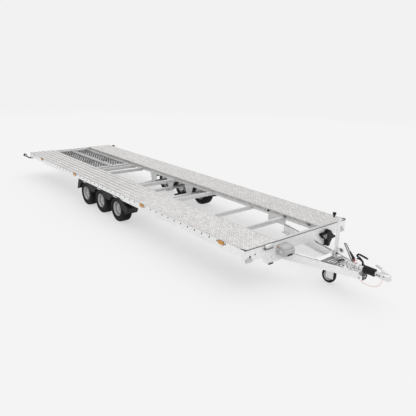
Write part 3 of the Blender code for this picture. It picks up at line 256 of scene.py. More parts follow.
ZINC = zinc("galvanised finish", grey(0.85), grey(0.95), metallic=0.2)
# A darker copy of the galvanised finish for the members under the deck: painted shade.
ZINC_SHADE = zinc("galvanised members painted shade finish", grey(0.62), grey(0.74))
BRIGHT = zinc("bright zinc finish", grey(0.70), grey(0.90), metallic=0.6, roughness=(0.2, 0.34), scale=260)
# The deck sheet between the bars is painted darker as painted shade, and the bars lighter as a painted
# highlight; the worn copies also carry the wear lines.
DECK_SHADE = zinc("deck sheet painted shade finish", grey(0.43, 0.025), grey(0.56, 0.025), scale=26)
TREAD_HIGHLIGHT = zinc("raised tread painted highlight finish", *TREAD_HIGHLIGHT_TONES, **SHEEN)
DECK_SHADE_AND_WEAR = zinc("worn deck sheet painted shade finish", grey(0.50, 0.025), grey(0.64, 0.025), scale=26, lines=WORN_LINES)
TREAD_HIGHLIGHT_AND_WEAR = zinc("worn tread painted highlight finish", *TREAD_HIGHLIGHT_TONES, **SHEEN, lines=WORN_LINES)
RIM = moulded("rim silver finish", grey(0.40), grey(0.52), 0.38, metallic=0.4, cloud=12, coat=0.1)
DRUM = moulded("brake drum finish", grey(0.030), grey(0.055), 0.55, grain=260, depth=0.6, cloud=25)
CAST = moulded("cast grey finish", grey(0.17), grey(0.26), 0.48, grain=260, depth=0.9, metallic=0.4, cloud=25)
WIRE = brushed("dark steel wire finish", grey(0.05), grey(0.10), 0.5, 0.4, (1, 8, 8))
RAMP = brushed("ramp aluminium finish", grey(0.52), grey(0.68), 0.4, 0.42, (1, 12, 12))
RUNG = brushed("ramp rung finish", grey(0.60), grey(0.78), 0.3, 0.42, (12, 1, 12))
# Near-black tone for the aluminium teeth: painted shade on their sides.
TOOTH_SHADE = brushed("ramp tooth painted shade finish", grey(0.10), grey(0.17), 0.4, 0.45, (12, 1, 12))
DUCT = moulded("cable duct finish", grey(0.24), grey(0.34), 0.5, grain=500)
POST = brushed("post zinc finish", grey(0.80), grey(0.96), 0.35, 0.3, (12, 12, 1))
TYRE = moulded("tyre rubber finish", *BLACK, 0.75, grain=500, depth=0.4, cloud=14, shine=0.22)
RUBBER = moulded("rubber finish", *BLACK, 0.6, grain=700, cloud=30, shine=0.3)
PLASTIC = moulded("black plastic finish", *BLACK, 0.55, grain=650, depth=0.35, shine=0.25)
GREY_PLASTIC = moulded("grey plastic finish", grey(0.44), grey(0.54), 0.5, grain=800)
RED = moulded("red sleeve finish", (0.78, 0.26, 0.28), (0.88, 0.38, 0.39), 0.4, grain=600, cloud=40)
DARK_RED = moulded("dark red knob finish", (0.16, 0.012, 0.014), (0.26, 0.02, 0.02), 0.35, cloud=60, coat=0.3)
AMBER = lens_finish("amber lens finish", (0.60, 0.215, 0.006), (0.76, 0.34, 0.03), "X")
RED_LENS = lens_finish("red lens finish", (0.45, 0.008, 0.008), (0.65, 0.03, 0.02), "Y")
CLEAR_LENS = lens_finish("clear lens finish", grey(0.52), grey(0.72), "Y")

SLOT_FINISHES = {               # the slot's own finish first, then the others that belong to it
    "galvanised": (ZINC, ZINC_SHADE, BRIGHT, POST),
    "deck_sheet": (DECK_SHADE, DECK_SHADE_AND_WEAR, TREAD_HIGHLIGHT, TREAD_HIGHLIGHT_AND_WEAR),
    "rim_silver": (RIM, DRUM),
    "cast_grey": (CAST, WIRE),
    "ramp_aluminium": (RAMP, RUNG, TOOTH_SHADE),
    "tyre_rubber": (TYRE,),
    "rubber": (RUBBER,),
    "black_plastic": (PLASTIC,),
    "grey_plastic": (GREY_PLASTIC, DUCT, AMBER, RED_LENS, CLEAR_LENS),
    "red_sleeve": (RED, DARK_RED),
}
OWN_FINISH = {"runway_right": DECK_SHADE_AND_WEAR, "jockey_outer_tube": POST, "handbrake_lever": WIRE,
              "coupling_head": BRIGHT}
# Members under the deck that take the painted shade copy of the galvanised finish.
SHADED_NODES = ("cross_member", "ramp_bearer", "inner_beam", "axle")


def dress_nodes():
    """Give every CAD node the finish of its slot, or one of its own."""
    slots = {row["node"]: row["material_slot"] for row in frame["record"]["subparts"]}
    for name, thing in frame["nodes"].items():
        chosen = SLOT_FINISHES.get(slots.get(name), (ZINC,))[0]
        if name.startswith(SHADED_NODES):
            chosen = ZINC_SHADE
        for material_slot in thing.material_slots:
            material_slot.material = OWN_FINISH.get(name, chosen)


dress_nodes()


# Mesh helpers

WELD = 0.001
ALL_ROUND = {"profile": 0.5, "affect": "EDGES"}
DOME_SHARES = ((0.0, 1.0), (0.55, 1.0), (0.8, 0.94), (0.94, 0.8), (1.0, 0.5))
LENS_POWER = 3.4                # how square an oval lens is


def settled(name, bm):
    """The finished mesh of a bmesh."""
    mesh = bpy.data.meshes.new(name)
    bm.to_mesh(mesh)
    bm.free()
    return mesh


def joined(parts):
    """Several meshes as one."""
    whole = bmesh.new()
    for part in parts:
        spare = settled("spare", part)
        whole.from_mesh(spare)
        bpy.data.meshes.remove(spare)
    return whole


def piece(name, parts, finish, body="chassis", smooth=40, slot=None, replaces=None, at=(0, 0, 0)):
    """Turn one mesh in millimetres, or a list, into a piece that rides on a CAD body."""
    bm = joined(parts) if isinstance(parts, list) else parts
    bmesh.ops.recalc_face_normals(bm, faces=bm.faces)
    bm.transform(Matrix.Translation((BED_X, 0, 0)) @ Matrix.Scale(MM, 4) @ Matrix.Translation(at))
    mesh = settled(name, bm)
    mesh.shade_smooth()
    mesh.set_sharp_from_angle(angle=math.radians(smooth))
    mesh.materials.append(finish)
    thing = link(name, mesh)
    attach(thing, body)
    if replaces:
        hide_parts(replaces)


def laid(axis, along, a, b):
    """A point from its place along an axis and its two places across it."""
    return Vector({"X": (along, a, b), "Y": (a, along, b), "Z": (a, b, along)}[axis])


def skin(rings, closed=False, caps=True):
    """A surface through rings of points, with a face on each end."""
    bm = bmesh.new()
    loops = [[bm.verts.new(point) for point in ring] for ring in rings]
    pairs = list(zip(loops, loops[1:]))
    if closed:
        pairs.append((loops[-1], loops[0]))
    for one, two in pairs:
        for step in range(len(one)):
            after = (step + 1) % len(one)
            bm.faces.new((one[step], one[after], two[after], two[step]))
    if caps:
        bm.faces.new(loops[0])
        bm.faces.new(loops[-1])
    return bm


def rounded(middle, half, power, count):
    """A closed outline between an ellipse (power 2) and a box."""
    outline = []
    for step in range(count):
        angle = 2 * math.pi * step / count
        c, s = math.cos(angle), math.sin(angle)
        outline.append((middle[0] + half[0] * math.copysign(abs(c) ** (2 / power), c),
                        middle[1] + half[1] * math.copysign(abs(s) ** (2 / power), s)))
    return outline


def circle(radius, count):
    return rounded((0, 0), (radius, radius), 2, count)


def arc(middle, radii, start, end, steps):
    """Points along an ellipse from one angle to another, in degrees."""
    angles = [math.radians(start + (end - start) * step / steps) for step in range(steps + 1)]
    return [(middle[0] + radii[0] * math.cos(a), middle[1] + radii[1] * math.sin(a)) for a in angles]


def shifted(outline, a, b, sign=1):
    """An outline moved from its own origin, with its first places turned to one side."""
    return [(a + sign * along, b + up) for along, up in outline]


def facing(face, sign, profile, size=1):
    """A profile that is measured outward from a face, at its real place and size."""
    return [(face + sign * out, size * across) for out, across in profile]


def mirrored(profile):
    """A half profile and its mirror image, as one closed profile."""
    return list(profile) + [(-across, up) for across, up in reversed(profile)]


def turned(profile, axis, centre=(0, 0, 0), segments=28, closed=False):
    """A body of revolution from (along, radius) points."""
    rings = []
    for along, radius in profile:
        rings.append([laid(axis, along, a, b) + Vector(centre) for a, b in circle(radius, segments)])
    bm = skin(rings, closed, caps=False)
    bmesh.ops.remove_doubles(bm, verts=bm.verts, dist=WELD)
    return bm


def plate(outline, axis, start, end, edge=0.0, steps=2):
    """A flat outline pushed out along one axis, with its edges rounded."""
    bm = bmesh.new()
    face = bm.faces.new([bm.verts.new(laid(axis, start, a, b)) for a, b in outline])
    pushed = bmesh.ops.extrude_face_region(bm, geom=[face])
    moved = [v for v in pushed["geom"] if isinstance(v, bmesh.types.BMVert)]
    bmesh.ops.translate(bm, vec=laid(axis, end - start, 0, 0), verts=moved)
    bmesh.ops.recalc_face_normals(bm, faces=bm.faces)
    if edge:
        bmesh.ops.bevel(bm, geom=list(bm.edges), offset=edge, segments=steps, clamp_overlap=True, **ALL_ROUND)
    return bm


def soft_box(low, high, edge, steps=2):
    """A box between two corners with rounded edges."""
    bm = bmesh.new()
    size = Vector(high) - Vector(low)
    middle = (Vector(high) + Vector(low)) / 2
    bmesh.ops.create_cube(bm, size=1.0, matrix=Matrix.Translation(middle) @ Matrix.Diagonal((*size, 1.0)))
    bmesh.ops.bevel(bm, geom=list(bm.edges), offset=edge, segments=steps, **ALL_ROUND)
    return bm


def dome(centre, half, depth, axis, power=4, count=36):
    """A domed oval lens on a face; depth is signed."""
    rings = []
    for along, size in DOME_SHARES:
        ring = rounded((0, 0), (half[0] * size, half[1] * size), power, count)
        rings.append([laid(axis, depth * along, a, b) + Vector(centre) for a, b in ring])
    return skin(rings)


def tube(points, radius, sides, radii=None):
    """A round bar along points, closed at both ends."""
    path = [Vector(p) for p in points]
    rings = []
    across = (path[1] - path[0]).orthogonal()
    for k, here in enumerate(path):
        heading = (path[min(k + 1, len(path) - 1)] - path[max(k - 1, 0)]).normalized()
        across = (across - heading * across.dot(heading)).normalized()
        up = heading.cross(across)
        rings.append([here + across * a + up * b for a, b in circle(radii[k] if radii else radius, sides)])
    return skin(rings)


def smooth_path(points, steps):
    """Catmull-Rom points through a given route."""
    route = [Vector(p) for p in points]
    ends = [2 * route[0] - route[1]] + route + [2 * route[-1] - route[-2]]
    path = []
    for k in range(len(route) - 1):
        a, b, c, d = ends[k:k + 4]
        for step in range(steps):
            t = step / steps
            curve = 2 * b + (c - a) * t + (2 * a - 5 * b + 4 * c - d) * t * t
            path.append((curve + (3 * b - a - 3 * c + d) * t ** 3) / 2)
    path.append(route[-1])
    return path


def carved(blank, cutters):
    """The blank with the cutters taken out."""
    things = []
    for bm in (blank, cutters):
        bmesh.ops.recalc_face_normals(bm, faces=bm.faces)
        things.append(link("blank", settled("blank", bm)))
    cut = things[0].modifiers.new("cut", "BOOLEAN")
    cut.operation = "DIFFERENCE"
    cut.object = things[1]
    cut.solver = "EXACT"
    graph = bpy.context.evaluated_depsgraph_get()
    result = bmesh.new()
    result.from_mesh(things[0].evaluated_get(graph).to_mesh())
    for thing in things:
        bpy.data.objects.remove(thing)
    return result


def bolt(centre, axis, sign, radius=8, height=6):
    """A hexagonal bolt head on its washer, standing out from a face."""
    washer = facing(0, sign, ((0, 0), (0, 1.35 * radius), (1.2, 1.35 * radius), (1.5, 0)))
    head = facing(0, sign, ((1, 0), (1, radius), (0.8 * height, radius), (height, 0.8 * radius), (height, 0)))
    return joined([turned(washer, axis, centre, 16), turned(head, axis, centre, 6)])


def bolts(name, heads, finish=BRIGHT, body="chassis"):
    piece(name, heads, finish, body, smooth=30)


def oval_lamp(kind, place, centre, half, border, depths, axis, finishes):
    """A lamp's base and its lens, standing out from a face."""
    base = dome(centre, [size + border for size in half], depths[0], axis)
    piece(f"{kind}_lamp_base_{place}", base, finishes[0])
    piece(f"{kind}_lamp_{place}", dome(centre, half, depths[1], axis, LENS_POWER), finishes[1], smooth=50)


# Breakaway cable, on the route of its solid, in metres

CABLE_ROUTE = (
    (4.660, 0, 0.3837), (4.660, 0, 0.3297), (4.6902, 0, 0.2680), (4.7707, 0, 0.2287), (4.8614, 0, 0.2250),
    (4.9486, 0, 0.2568), (4.9956, 0, 0.3297), (4.9956, 0, 0.3734),
)
CABLE_RADIUS = 0.0025
path = smooth_path([(BED_X + x, y, z) for x, y, z in CABLE_ROUTE], 3)
curve = bpy.data.curves.new("breakaway_cord", "CURVE")
curve.dimensions = "3D"
curve.bevel_depth = CABLE_RADIUS
curve.bevel_resolution = 4
curve.use_fill_caps = True
line = curve.splines.new("POLY")
line.points.add(len(path) - 1)
for spot, place in zip(line.points, path):
    spot.co = (*place, 1.0)
curve.materials.append(RED)
cord = link("breakaway_cord", curve)
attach(cord, "chassis")
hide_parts("breakaway_cable")


# Deck tread: raised lozenges in two crossing directions

TREAD_PITCH = 42
TREAD_HALF = (21.5, 7)
TREAD_RISE = 2.6
TREAD_SUNK = 0.3
TREAD_MARGIN = 10
LOZENGE = ((-1, 0), (-0.5, -1), (0.5, -1), (1, 0), (0.5, 1), (-0.5, 1), (-0.5, 0), (0.5, 0))
LOZENGE_RIDGE = 6               # the first of the two points of its ridge
LOZENGE_FACES = ((0, 1, 6), (0, 6, 5), (1, 2, 7, 6), (5, 6, 7, 4), (2, 3, 7), (3, 4, 7), (5, 4, 3, 2, 1, 0))


def tread_piece(side, sign):
    bm = bmesh.new()
    rows = int(2 * (HALF_BED - TREAD_MARGIN) / TREAD_PITCH)
    columns = int((HALF_WIDTH - INNER_EDGE - 2 * TREAD_MARGIN) / TREAD_PITCH)
    middle = sign * (HALF_WIDTH + INNER_EDGE) / 2
    for i in range(rows):
        for j in range(columns):
            x = (i - (rows - 1) / 2) * TREAD_PITCH
            y = middle + (j - (columns - 1) / 2) * TREAD_PITCH
            slant = math.pi / 4 if (i + j) % 2 else -math.pi / 4
            c, s = math.cos(slant), math.sin(slant)
            spots = []
            for number, (along, across) in enumerate(LOZENGE):
                a, b = along * TREAD_HALF[0], across * TREAD_HALF[1]
                rise = TREAD_RISE if number >= LOZENGE_RIDGE else -TREAD_SUNK
                spots.append(bm.verts.new((x + c * a - s * b, y + s * a + c * b, DECK_TOP + rise)))
            for face in LOZENGE_FACES:
                bm.faces.new([spots[k] for k in face])
    # The lozenges take the painted highlight finishes, the worn one on the right.
    piece("tread_" + side, bm, TREAD_HIGHLIGHT_AND_WEAR if side == "right" else TREAD_HIGHLIGHT, smooth=50)


for side, sign in SIDES:
    tread_piece(side, sign)


# Wheels: tyres with grooves and sipes, pressed rims with holes and nuts, brake drums

TYRE_SEGMENTS = 96
TYRE_BEAD = 128
TYRE_PROFILE = (                # shares of the half width, and of the height from bead to tread
    (-0.80, 0.00), (-0.86, 0.06), (-0.95, 0.16), (-1.00, 0.34), (-1.00, 0.52), (-0.97, 0.68),
    (-0.945, 0.74), (-0.94, 0.79), (-0.88, 0.89), (-0.80, 0.955), (-0.70, 0.982), (-0.56, 0.992),
    (-0.545, 0.93), (-0.485, 0.93), (-0.47, 0.996), (-0.20, 1.000), (-0.185, 0.93), (-0.125, 0.93),
    (-0.11, 1.000),
)
SIPE_POINTS = (7, 8, 9, 10)     # the points of the profile that the sipes cut
SIPE_STEP = 4
SIPE_DEPTH = 3.5
RIM_HALF = 88
RIM_SEGMENTS = 80
RIM_PROFILE = (                 # places inward of the rim's open edge, and radii
    (50, 30), (49, 60), (40, 70), (38, 80), (45, 98), (62, 104.5), (60, 109), (22, 112), (14, 117.5),
    (4, 120), (0, 124), (0, 127.5), (3, 127.7), (176, 127.7), (176, 115), (66, 106), (68, 95), (54, 60),
    (55, 30),
)
HUB_PROFILE = ((56, 0), (56, 32.5), (42, 32.5), (38, 28.5), (26, 27), (22, 22), (22, 0))
RIM_HOLES = 10
RIM_HOLE_PROFILE = ((80, 0), (80, 9), (20, 9), (20, 0))
RIM_HOLE_CIRCLE = 88
NUTS = 5
NUT_CIRCLE = 50
NUT_FACE = 49.5                 # inward of the open edge
DRUM_PROFILE = (
    (-93, 16), (-93, 92), (-90, 95), (-76, 95), (-74, 98), (-70, 98), (-68, 95), (-60, 95), (-58, 98),
    (-54, 98), (-52, 95), (-34, 95), (-30, 90), (-30, 31), (33, 31), (33, 16),
)


def tyre_mesh(size):
    """A tyre about its own centre."""
    height = size.z / 2 - TYRE_BEAD
    profile = mirrored(TYRE_PROFILE)
    rings = []
    for number, (across, up) in enumerate(profile):
        radius = TYRE_BEAD + up * height
        ring = circle(radius, TYRE_SEGMENTS)
        if min(number, len(profile) - 1 - number) in SIPE_POINTS:
            ring[::SIPE_STEP] = circle(radius - SIPE_DEPTH, TYRE_SEGMENTS)[::SIPE_STEP]
        rings.append([(x, across * size.y / 2, z) for x, z in ring])
    return skin(rings, closed=True, caps=False)


def rim_mesh(sign):
    """A pressed steel rim about its own centre, its open face towards sign."""
    edge = sign * RIM_HALF
    blank = turned(facing(edge, -sign, RIM_PROFILE), "Y", segments=RIM_SEGMENTS, closed=True)
    hole = facing(edge, -sign, RIM_HOLE_PROFILE)
    holes = [turned(hole, "Y", (x, 0, z), 14) for x, z in circle(RIM_HOLE_CIRCLE, 2 * RIM_HOLES)[1::2]]
    hub = turned(facing(edge, -sign, HUB_PROFILE), "Y")
    face = edge - sign * NUT_FACE
    nuts = [bolt((x, face, z), "Y", sign, 7.5, 9) for x, z in circle(NUT_CIRCLE, NUTS)]
    return joined([carved(blank, joined(holes)), hub] + nuts)


for side, sign in SIDES:
    for row in ("front", "middle", "rear"):
        wheel = f"{row}_{side}"
        low, high = node_box("tyre_" + wheel)
        ride = {"body": "wheel_" + wheel, "at": (low + high) / 2}
        piece(f"tyre_{wheel}_tread", tyre_mesh(high - low), TYRE, smooth=38, replaces="tyre_" + wheel, **ride)
        piece(f"rim_{wheel}_pressed", rim_mesh(sign), RIM, smooth=35, replaces="rim_" + wheel, **ride)
        drum = turned(facing(0, sign, DRUM_PROFILE), "Y", segments=40, closed=True)
        piece("drum_" + wheel, drum, DRUM, smooth=35, **ride)


# Rails: black plugs in the lashing holes as painted shade, oval side lamps

HOLE_PITCH = 160.6
HOLE_PHASE = 26
HOLE_Z = DECK_TOP - 30
HOLE_LAST = HALF_BED - 210
LAMP_CLEAR = 74                 # the least distance from a hole to the middle of a lamp
HOLE_SHADE_RADIUS = 11.6
HOLE_SHADE_PROFILE = ((-3, 0), (-3, 1), (0.8, 1.05), (1.4, 0.8), (-1.5, 0.6), (-1.5, 0))
SIDE_LAMP_SHARES = (-0.7941, -0.3179, 0.3669, 0.8851)
SIDE_LAMP_HALF = (57, 25)
SIDE_LAMP_BORDER = 3
SIDE_LAMP_DEPTHS = (5, 17)      # of its base and its lens


def hole_places():
    """Where the lashing holes are, with those under a lamp left out."""
    first = math.ceil((-HOLE_LAST - HOLE_PHASE) / HOLE_PITCH)
    places = []
    for step in range(int(2 * HOLE_LAST / HOLE_PITCH) + 1):
        x = HOLE_PHASE + (first + step) * HOLE_PITCH
        if abs(x) <= HOLE_LAST and all(abs(x - share * HALF_BED) > LAMP_CLEAR for share in SIDE_LAMP_SHARES):
            places.append(x)
    return places


for side, sign in SIDES:
    # Black plugs fill the lashing holes: painted shade for the dark inside of the holes.
    profile = facing(sign * HALF_WIDTH, sign, HOLE_SHADE_PROFILE, HOLE_SHADE_RADIUS)
    plugs = [turned(profile, "Y", (x, 0, HOLE_Z), 14) for x in hole_places()]
    piece("rail_hole_shade_plugs_" + side, plugs, PLASTIC)
    for number, share in enumerate(SIDE_LAMP_SHARES, 1):
        centre = (share * HALF_BED, sign * (HALF_WIDTH + 0.3), HOLE_Z)
        depths = [sign * depth for depth in SIDE_LAMP_DEPTHS]
        oval_lamp("side", f"{side}_{number}", centre, SIDE_LAMP_HALF, SIDE_LAMP_BORDER, depths, "Y",
                  (PLASTIC, AMBER))


# Front beam: oval position lamps, grommets, corner caps, apron plates, edge strip, cover and holder

front_low, front_high = node_box("front_beam")
FRONT_LAMP_INSET = 85
FRONT_LAMP_Z = front_low.z + 21.3
FRONT_LAMP_HALF = (52, 22)
FRONT_LAMP_BORDER = 4
FRONT_LAMP_DEPTHS = (8, 25)
GROMMETS = ((-946, 452, 14), (-859, 463, 9))        # place in Y and Z, radius
GROMMET_PROFILE = ((0.4, 0), (0.4, 1), (3, 1), (6, 0.7), (7, 0))
CAP_OUTLINE = ((-75, 0), (0.5, 0), (0.5, 34), (-12, 30))
EDGE_STRIP = 15
COVER_DEPTH = 52
APRON = ((345, 383.4), (725, 383.4), (700, 330), (625, 264), (345, 264))
APRON_REAR = 3740
APRON_FRONT = 3746
APRON_STOP = ((3734, 506, 249), (3756, 591, 263.7))
APRON_BOLTS = (390, 470, 550, 630)
APRON_BOLT_Z = 352


def front_end(side, sign):
    """What stands on the face of the front beam at one side, and the apron plate under it."""
    centre = (HALF_BED + 1.5, sign * (HALF_WIDTH - FRONT_LAMP_INSET), FRONT_LAMP_Z)
    oval_lamp("front", side, centre, FRONT_LAMP_HALF, FRONT_LAMP_BORDER, FRONT_LAMP_DEPTHS, "X",
              (GREY_PLASTIC, CLEAR_LENS))
    grommets = []
    for y, z, radius in GROMMETS:
        grommets.append(turned(facing(0, 1, GROMMET_PROFILE, radius), "X", (HALF_BED, -sign * y, z), 18))
    piece("front_grommets_" + side, grommets, PLASTIC)
    outline = [(HALF_BED + x, sign * (HALF_WIDTH + 0.5 - inward)) for x, inward in CAP_OUTLINE]
    piece("deck_corner_" + side, plate(outline, "Z", DECK_TOP + 0.3, DECK_TOP + 5, 1.5), PLASTIC)
    apron = plate([(sign * y, z) for y, z in APRON], "X", APRON_REAR, APRON_FRONT, 1.5)
    piece("front_apron_" + side, apron, ZINC, smooth=35)
    low, high = APRON_STOP
    near, far = sorted((sign * low[1], sign * high[1]))
    stop = soft_box((low[0], near, low[2]), (high[0], far, high[2]), 4)
    piece("apron_stop_" + side, stop, PLASTIC)
    heads = [bolt((APRON_FRONT, sign * y, APRON_BOLT_Z), "X", 1, 8, 7) for y in APRON_BOLTS]
    bolts("apron_bolts_" + side, heads)


def front_covers():
    """A dark strip along the top of the face and a cover on the beam between the runways."""
    half = HALF_WIDTH - 2
    strip = soft_box((HALF_BED + 0.3, -half, DECK_TOP - EDGE_STRIP), (HALF_BED + 3, half, DECK_TOP - 1), 1)
    piece("front_edge_strip", strip, CAST, slot="rubber", smooth=35)
    half, top = INNER_EDGE - 2, front_high.z
    cover = soft_box((HALF_BED - COVER_DEPTH, -half, top + 0.3), (HALF_BED - 2, half, top + 2.3), 0.8)
    piece("front_cover", cover, RAMP, slot="galvanised", smooth=35)


def front_holder():
    """A small bright holder at the top of the face beside the equipment box."""
    holder = soft_box((HALF_BED + 3.4, -700, 510), (HALF_BED + 44, -572, 556), 14, 3)
    piece("front_holder", holder, BRIGHT)
    foot = soft_box((HALF_BED + 0.4, -712, 488), (HALF_BED + 36, -560, 508.5), 5)
    piece("front_holder_foot", foot, CAST)


for side, sign in SIDES:
    front_end(side, sign)
front_covers()
front_holder()


# Inner edges: buffers, lashing rings and bolts through the gussets

BUFFER_X = 2737
BUFFER_PROFILE = ((0.4, 0), (0.4, 17), (8, 17), (12, 13), (26, 11), (30, 0))
RING_PLACES = (3081, 3542)
RING_PLATE_HALF = (34, 13)
RING_RADII = (22, -16)
RING_BAR = 4
GUSSET_BOLTS = ((2800, 490), (2800, 430), (2920, 430), (3040, 430))


def lashing_ring(x, face, inward, z):
    """A plate on the inner edge with a half ring that hangs from it."""
    base = plate(rounded((x, z), RING_PLATE_HALF, 4, 24), "Y", face + inward * 0.4, face + inward * 5, 1)
    near, far = face + inward * 2, face + inward * 10
    parts = [base, tube([(a, far, b) for a, b in arc((x, z - 4), RING_RADII, 0, 180, 24)], RING_BAR, 8)]
    for across in (-RING_RADII[0], RING_RADII[0]):
        parts.append(tube([(x + across, near, z - 4), (x + across, far, z - 4)], RING_BAR, 8))
    return joined(parts)


def inner_edge_details(side, sign):
    face, inward = sign * INNER_EDGE, -sign
    z = DECK_TOP - 24
    buffer = turned(facing(face, inward, BUFFER_PROFILE), "Y", (BUFFER_X, 0, z), 20)
    piece("inner_buffer_" + side, buffer, RUBBER, smooth=35)
    rings = [lashing_ring(x, face, inward, z) for x in RING_PLACES]
    piece("lashing_rings_" + side, rings, CAST)
    web = sign * (INNER_EDGE + 3.8)
    bolts("gusset_bolts_" + side, [bolt((x, web, height), "Y", inward) for x, height in GUSSET_BOLTS])


for side, sign in SIDES:
    inner_edge_details(side, sign)


# Equipment box in the corner of the front beam and the drawbar

box_low, box_high = node_box("equipment_box")
BOX_SHIFT = 36


def equipment_box():
    rear, front = box_low.x, box_high.x + 4
    near, far = box_low.y - BOX_SHIFT, box_high.y - BOX_SHIFT
    foot, top = box_low.z - 16, box_high.z - 6
    outline = [(rear, foot), (rear, top), (front - 70, top), (front - 34, top - 12),
               (front - 8, top - 44), (front, top - 58), (front, foot)]
    shell = plate(outline, "Y", near, far, 6, 3)
    piece("equipment_box_shell", shell, GREY_PLASTIC, replaces="equipment_box")
    latch = soft_box((front - 4, near + 42, foot + 8), (front + 4, near + 140, foot + 32), 3)
    piece("equipment_box_latch", latch, PLASTIC)
    seam = soft_box((rear + 2, near - 1.2, top - 36), (front - 14, far + 1.2, top - 33), 1)
    piece("equipment_box_seam", seam, CAST)
    lamp = dome((rear + 22, near + 0.5, top - 16), (14, 9), -6, "Y", 2, 24)
    piece("equipment_box_lamp", lamp, AMBER, smooth=50)
    caps = [dome((rear + 26, near + 0.5, top - 52), (9, 9), -6, "Y", 2, 24),
            dome((front - 78, near + 0.5, top - 76), (12, 10), -6, "Y", 2, 24)]
    piece("equipment_box_caps", caps, ZINC, smooth=50)


equipment_box()


# Wheel chock: a moulded wedge with ribs, hung on the front beam; its outlines are shares of its box

chock_low, chock_high = node_box("wheel_chock")
CHOCK_OUTLINE = (
    (0.06, 0.78), (0.10, 0.84), (0.38, 0.84), (0.46, 0.99), (0.58, 0.96), (0.78, 0.66), (0.96, 0.52),
    (0.94, 0.43), (0.74, 0.42), (0.64, 0.20), (0.60, 0.02), (0.46, 0.04), (0.47, 0.24), (0.44, 0.46),
    (0.26, 0.50),
)
CHOCK_FACE = ((0.08, 0.78), (0.36, 0.80), (0.36, 0.56), (0.26, 0.54))
CHOCK_MIDDLE = Vector((0.5, 0.55))
CHOCK_CORE = 0.94
CHOCK_DEPTHS = (0.02, 0.55)
CHOCK_RIBS = 4
CHOCK_RIB_HALF = 3


def chock_outline(shares, grow=1.0):
    size = chock_high - chock_low
    outline = []
    for share in shares:
        along, up = CHOCK_MIDDLE + (Vector(share) - CHOCK_MIDDLE) * grow
        outline.append((chock_low.y + along * size.y, chock_low.z + up * size.z))
    return outline


def wheel_chock():
    rear, front = (chock_low.x + share * (chock_high.x - chock_low.x) for share in CHOCK_DEPTHS)
    parts = [plate(chock_outline(CHOCK_OUTLINE, CHOCK_CORE), "X", rear, front, 3)]
    for rib in range(CHOCK_RIBS + 1):
        x = rear + rib * (front - rear) / CHOCK_RIBS
        parts.append(plate(chock_outline(CHOCK_OUTLINE), "X", x - CHOCK_RIB_HALF, x + CHOCK_RIB_HALF, 1.2))
    piece("wheel_chock_moulding", parts, PLASTIC, smooth=35, replaces="wheel_chock")
    face = plate(chock_outline(CHOCK_FACE), "X", front + 2.6, front + 5, 1)
    piece("wheel_chock_face", face, CAST, smooth=35)


wheel_chock()


# Drawbar: dark strips along the beams' top edges as painted shade, the plate between the beams with its
# strips, bolts and a cable duct

bar_low, bar_high = node_box("drawbar_beam_left")
housing_low, housing_high = node_box("overrun_housing")
jockey_low, jockey_high = node_box("jockey_outer_tube")
BAR_TOP = bar_high.z
BAR_FRONT_Y = 76.9
POST_X = (jockey_low.x + jockey_high.x) / 2
POST_Y = (jockey_low.y + jockey_high.y) / 2
POST_RADIUS = (jockey_high.x - jockey_low.x) / 2
EDGE_SHADE_HEIGHTS = (BAR_TOP + 0.4, BAR_TOP + 4)
FRONT_EDGE_SHADE = (HALF_BED + 4, bar_high.x - 12, 1, 8)      # start, end, distances from the outer edge
REAR_EDGE_SHADE = (3120, 3660, 1, 15)
BAR_BOLTS = (HALF_BED + 100, HALF_BED + 190, bar_high.x - 60, bar_high.x - 130)
BAR_BOLT_INSET = 32
BAR_PLATE_REAR = POST_X + POST_RADIUS + 9
BAR_PLATE_FRONT = housing_low.x - 6
BAR_PLATE_HEIGHTS = (BAR_TOP + 4.4, BAR_TOP + 7.4)
STRIPS = 3
STRIP_PITCH = 34
STRIP_WIDTH = 12
STRIP_HEIGHTS = (BAR_TOP + 7.7, BAR_TOP + 13.7)
CABLE_DUCT = (3840, 4170, 13, 42)                       # start, end, distances from the outer edge


def bar_outer(x):
    """How far out the outer edge of a drawbar beam is."""
    share = (x - bar_low.x) / (bar_high.x - bar_low.x)
    return bar_high.y + share * (BAR_FRONT_Y - bar_high.y)


def on_beam(start, end, near, far, sign=1):
    """The outline of a strip along a beam, between two distances from its outer edge."""
    corners = ((start, near), (end, near), (end, far), (start, far))
    return [(x, sign * (bar_outer(x) - inset)) for x, inset in corners]


def drawbar_edge_shade(side, sign):
    # Dark strips along the outer top edges of the beams: painted shade, the shadow line at each edge.
    for name, strip in (("drawbar_edge_shade_", FRONT_EDGE_SHADE), ("drawbar_rear_edge_shade_", REAR_EDGE_SHADE)):
        shade_strip = plate(on_beam(*strip, sign), "Z", *EDGE_SHADE_HEIGHTS, 1)
        piece(name + side, shade_strip, CAST, slot="rubber", smooth=35)
    places = [(x, sign * (bar_outer(x) - BAR_BOLT_INSET), BAR_TOP + 0.3) for x in BAR_BOLTS]
    bolts("drawbar_bolts_" + side, [bolt(place, "Z", 1, 9, 8) for place in places])


def drawbar_plate():
    """The dark plate behind the housing, cut out beside the jockey post, with strips across it."""
    rear, front, beside = BAR_PLATE_REAR, BAR_PLATE_FRONT, POST_X - 40
    inner = POST_Y - POST_RADIUS - 8
    outline = [(rear, bar_outer(rear) - 8), (front, bar_outer(front) - 8), (front, 8 - bar_outer(front)),
               (beside, 8 - bar_outer(beside)), (beside, inner), (rear, inner)]
    piece("drawbar_plate", plate(outline, "Z", *BAR_PLATE_HEIGHTS, 1), CAST, smooth=35)
    strips = []
    low, high = STRIP_HEIGHTS
    for number in range(STRIPS):
        x = rear + 14 + number * STRIP_PITCH
        half = bar_outer(x) - 26
        strips.append(soft_box((x, -half, low), (x + STRIP_WIDTH, half, high), 2.4))
    piece("drawbar_plate_strips", strips, BRIGHT, smooth=35)


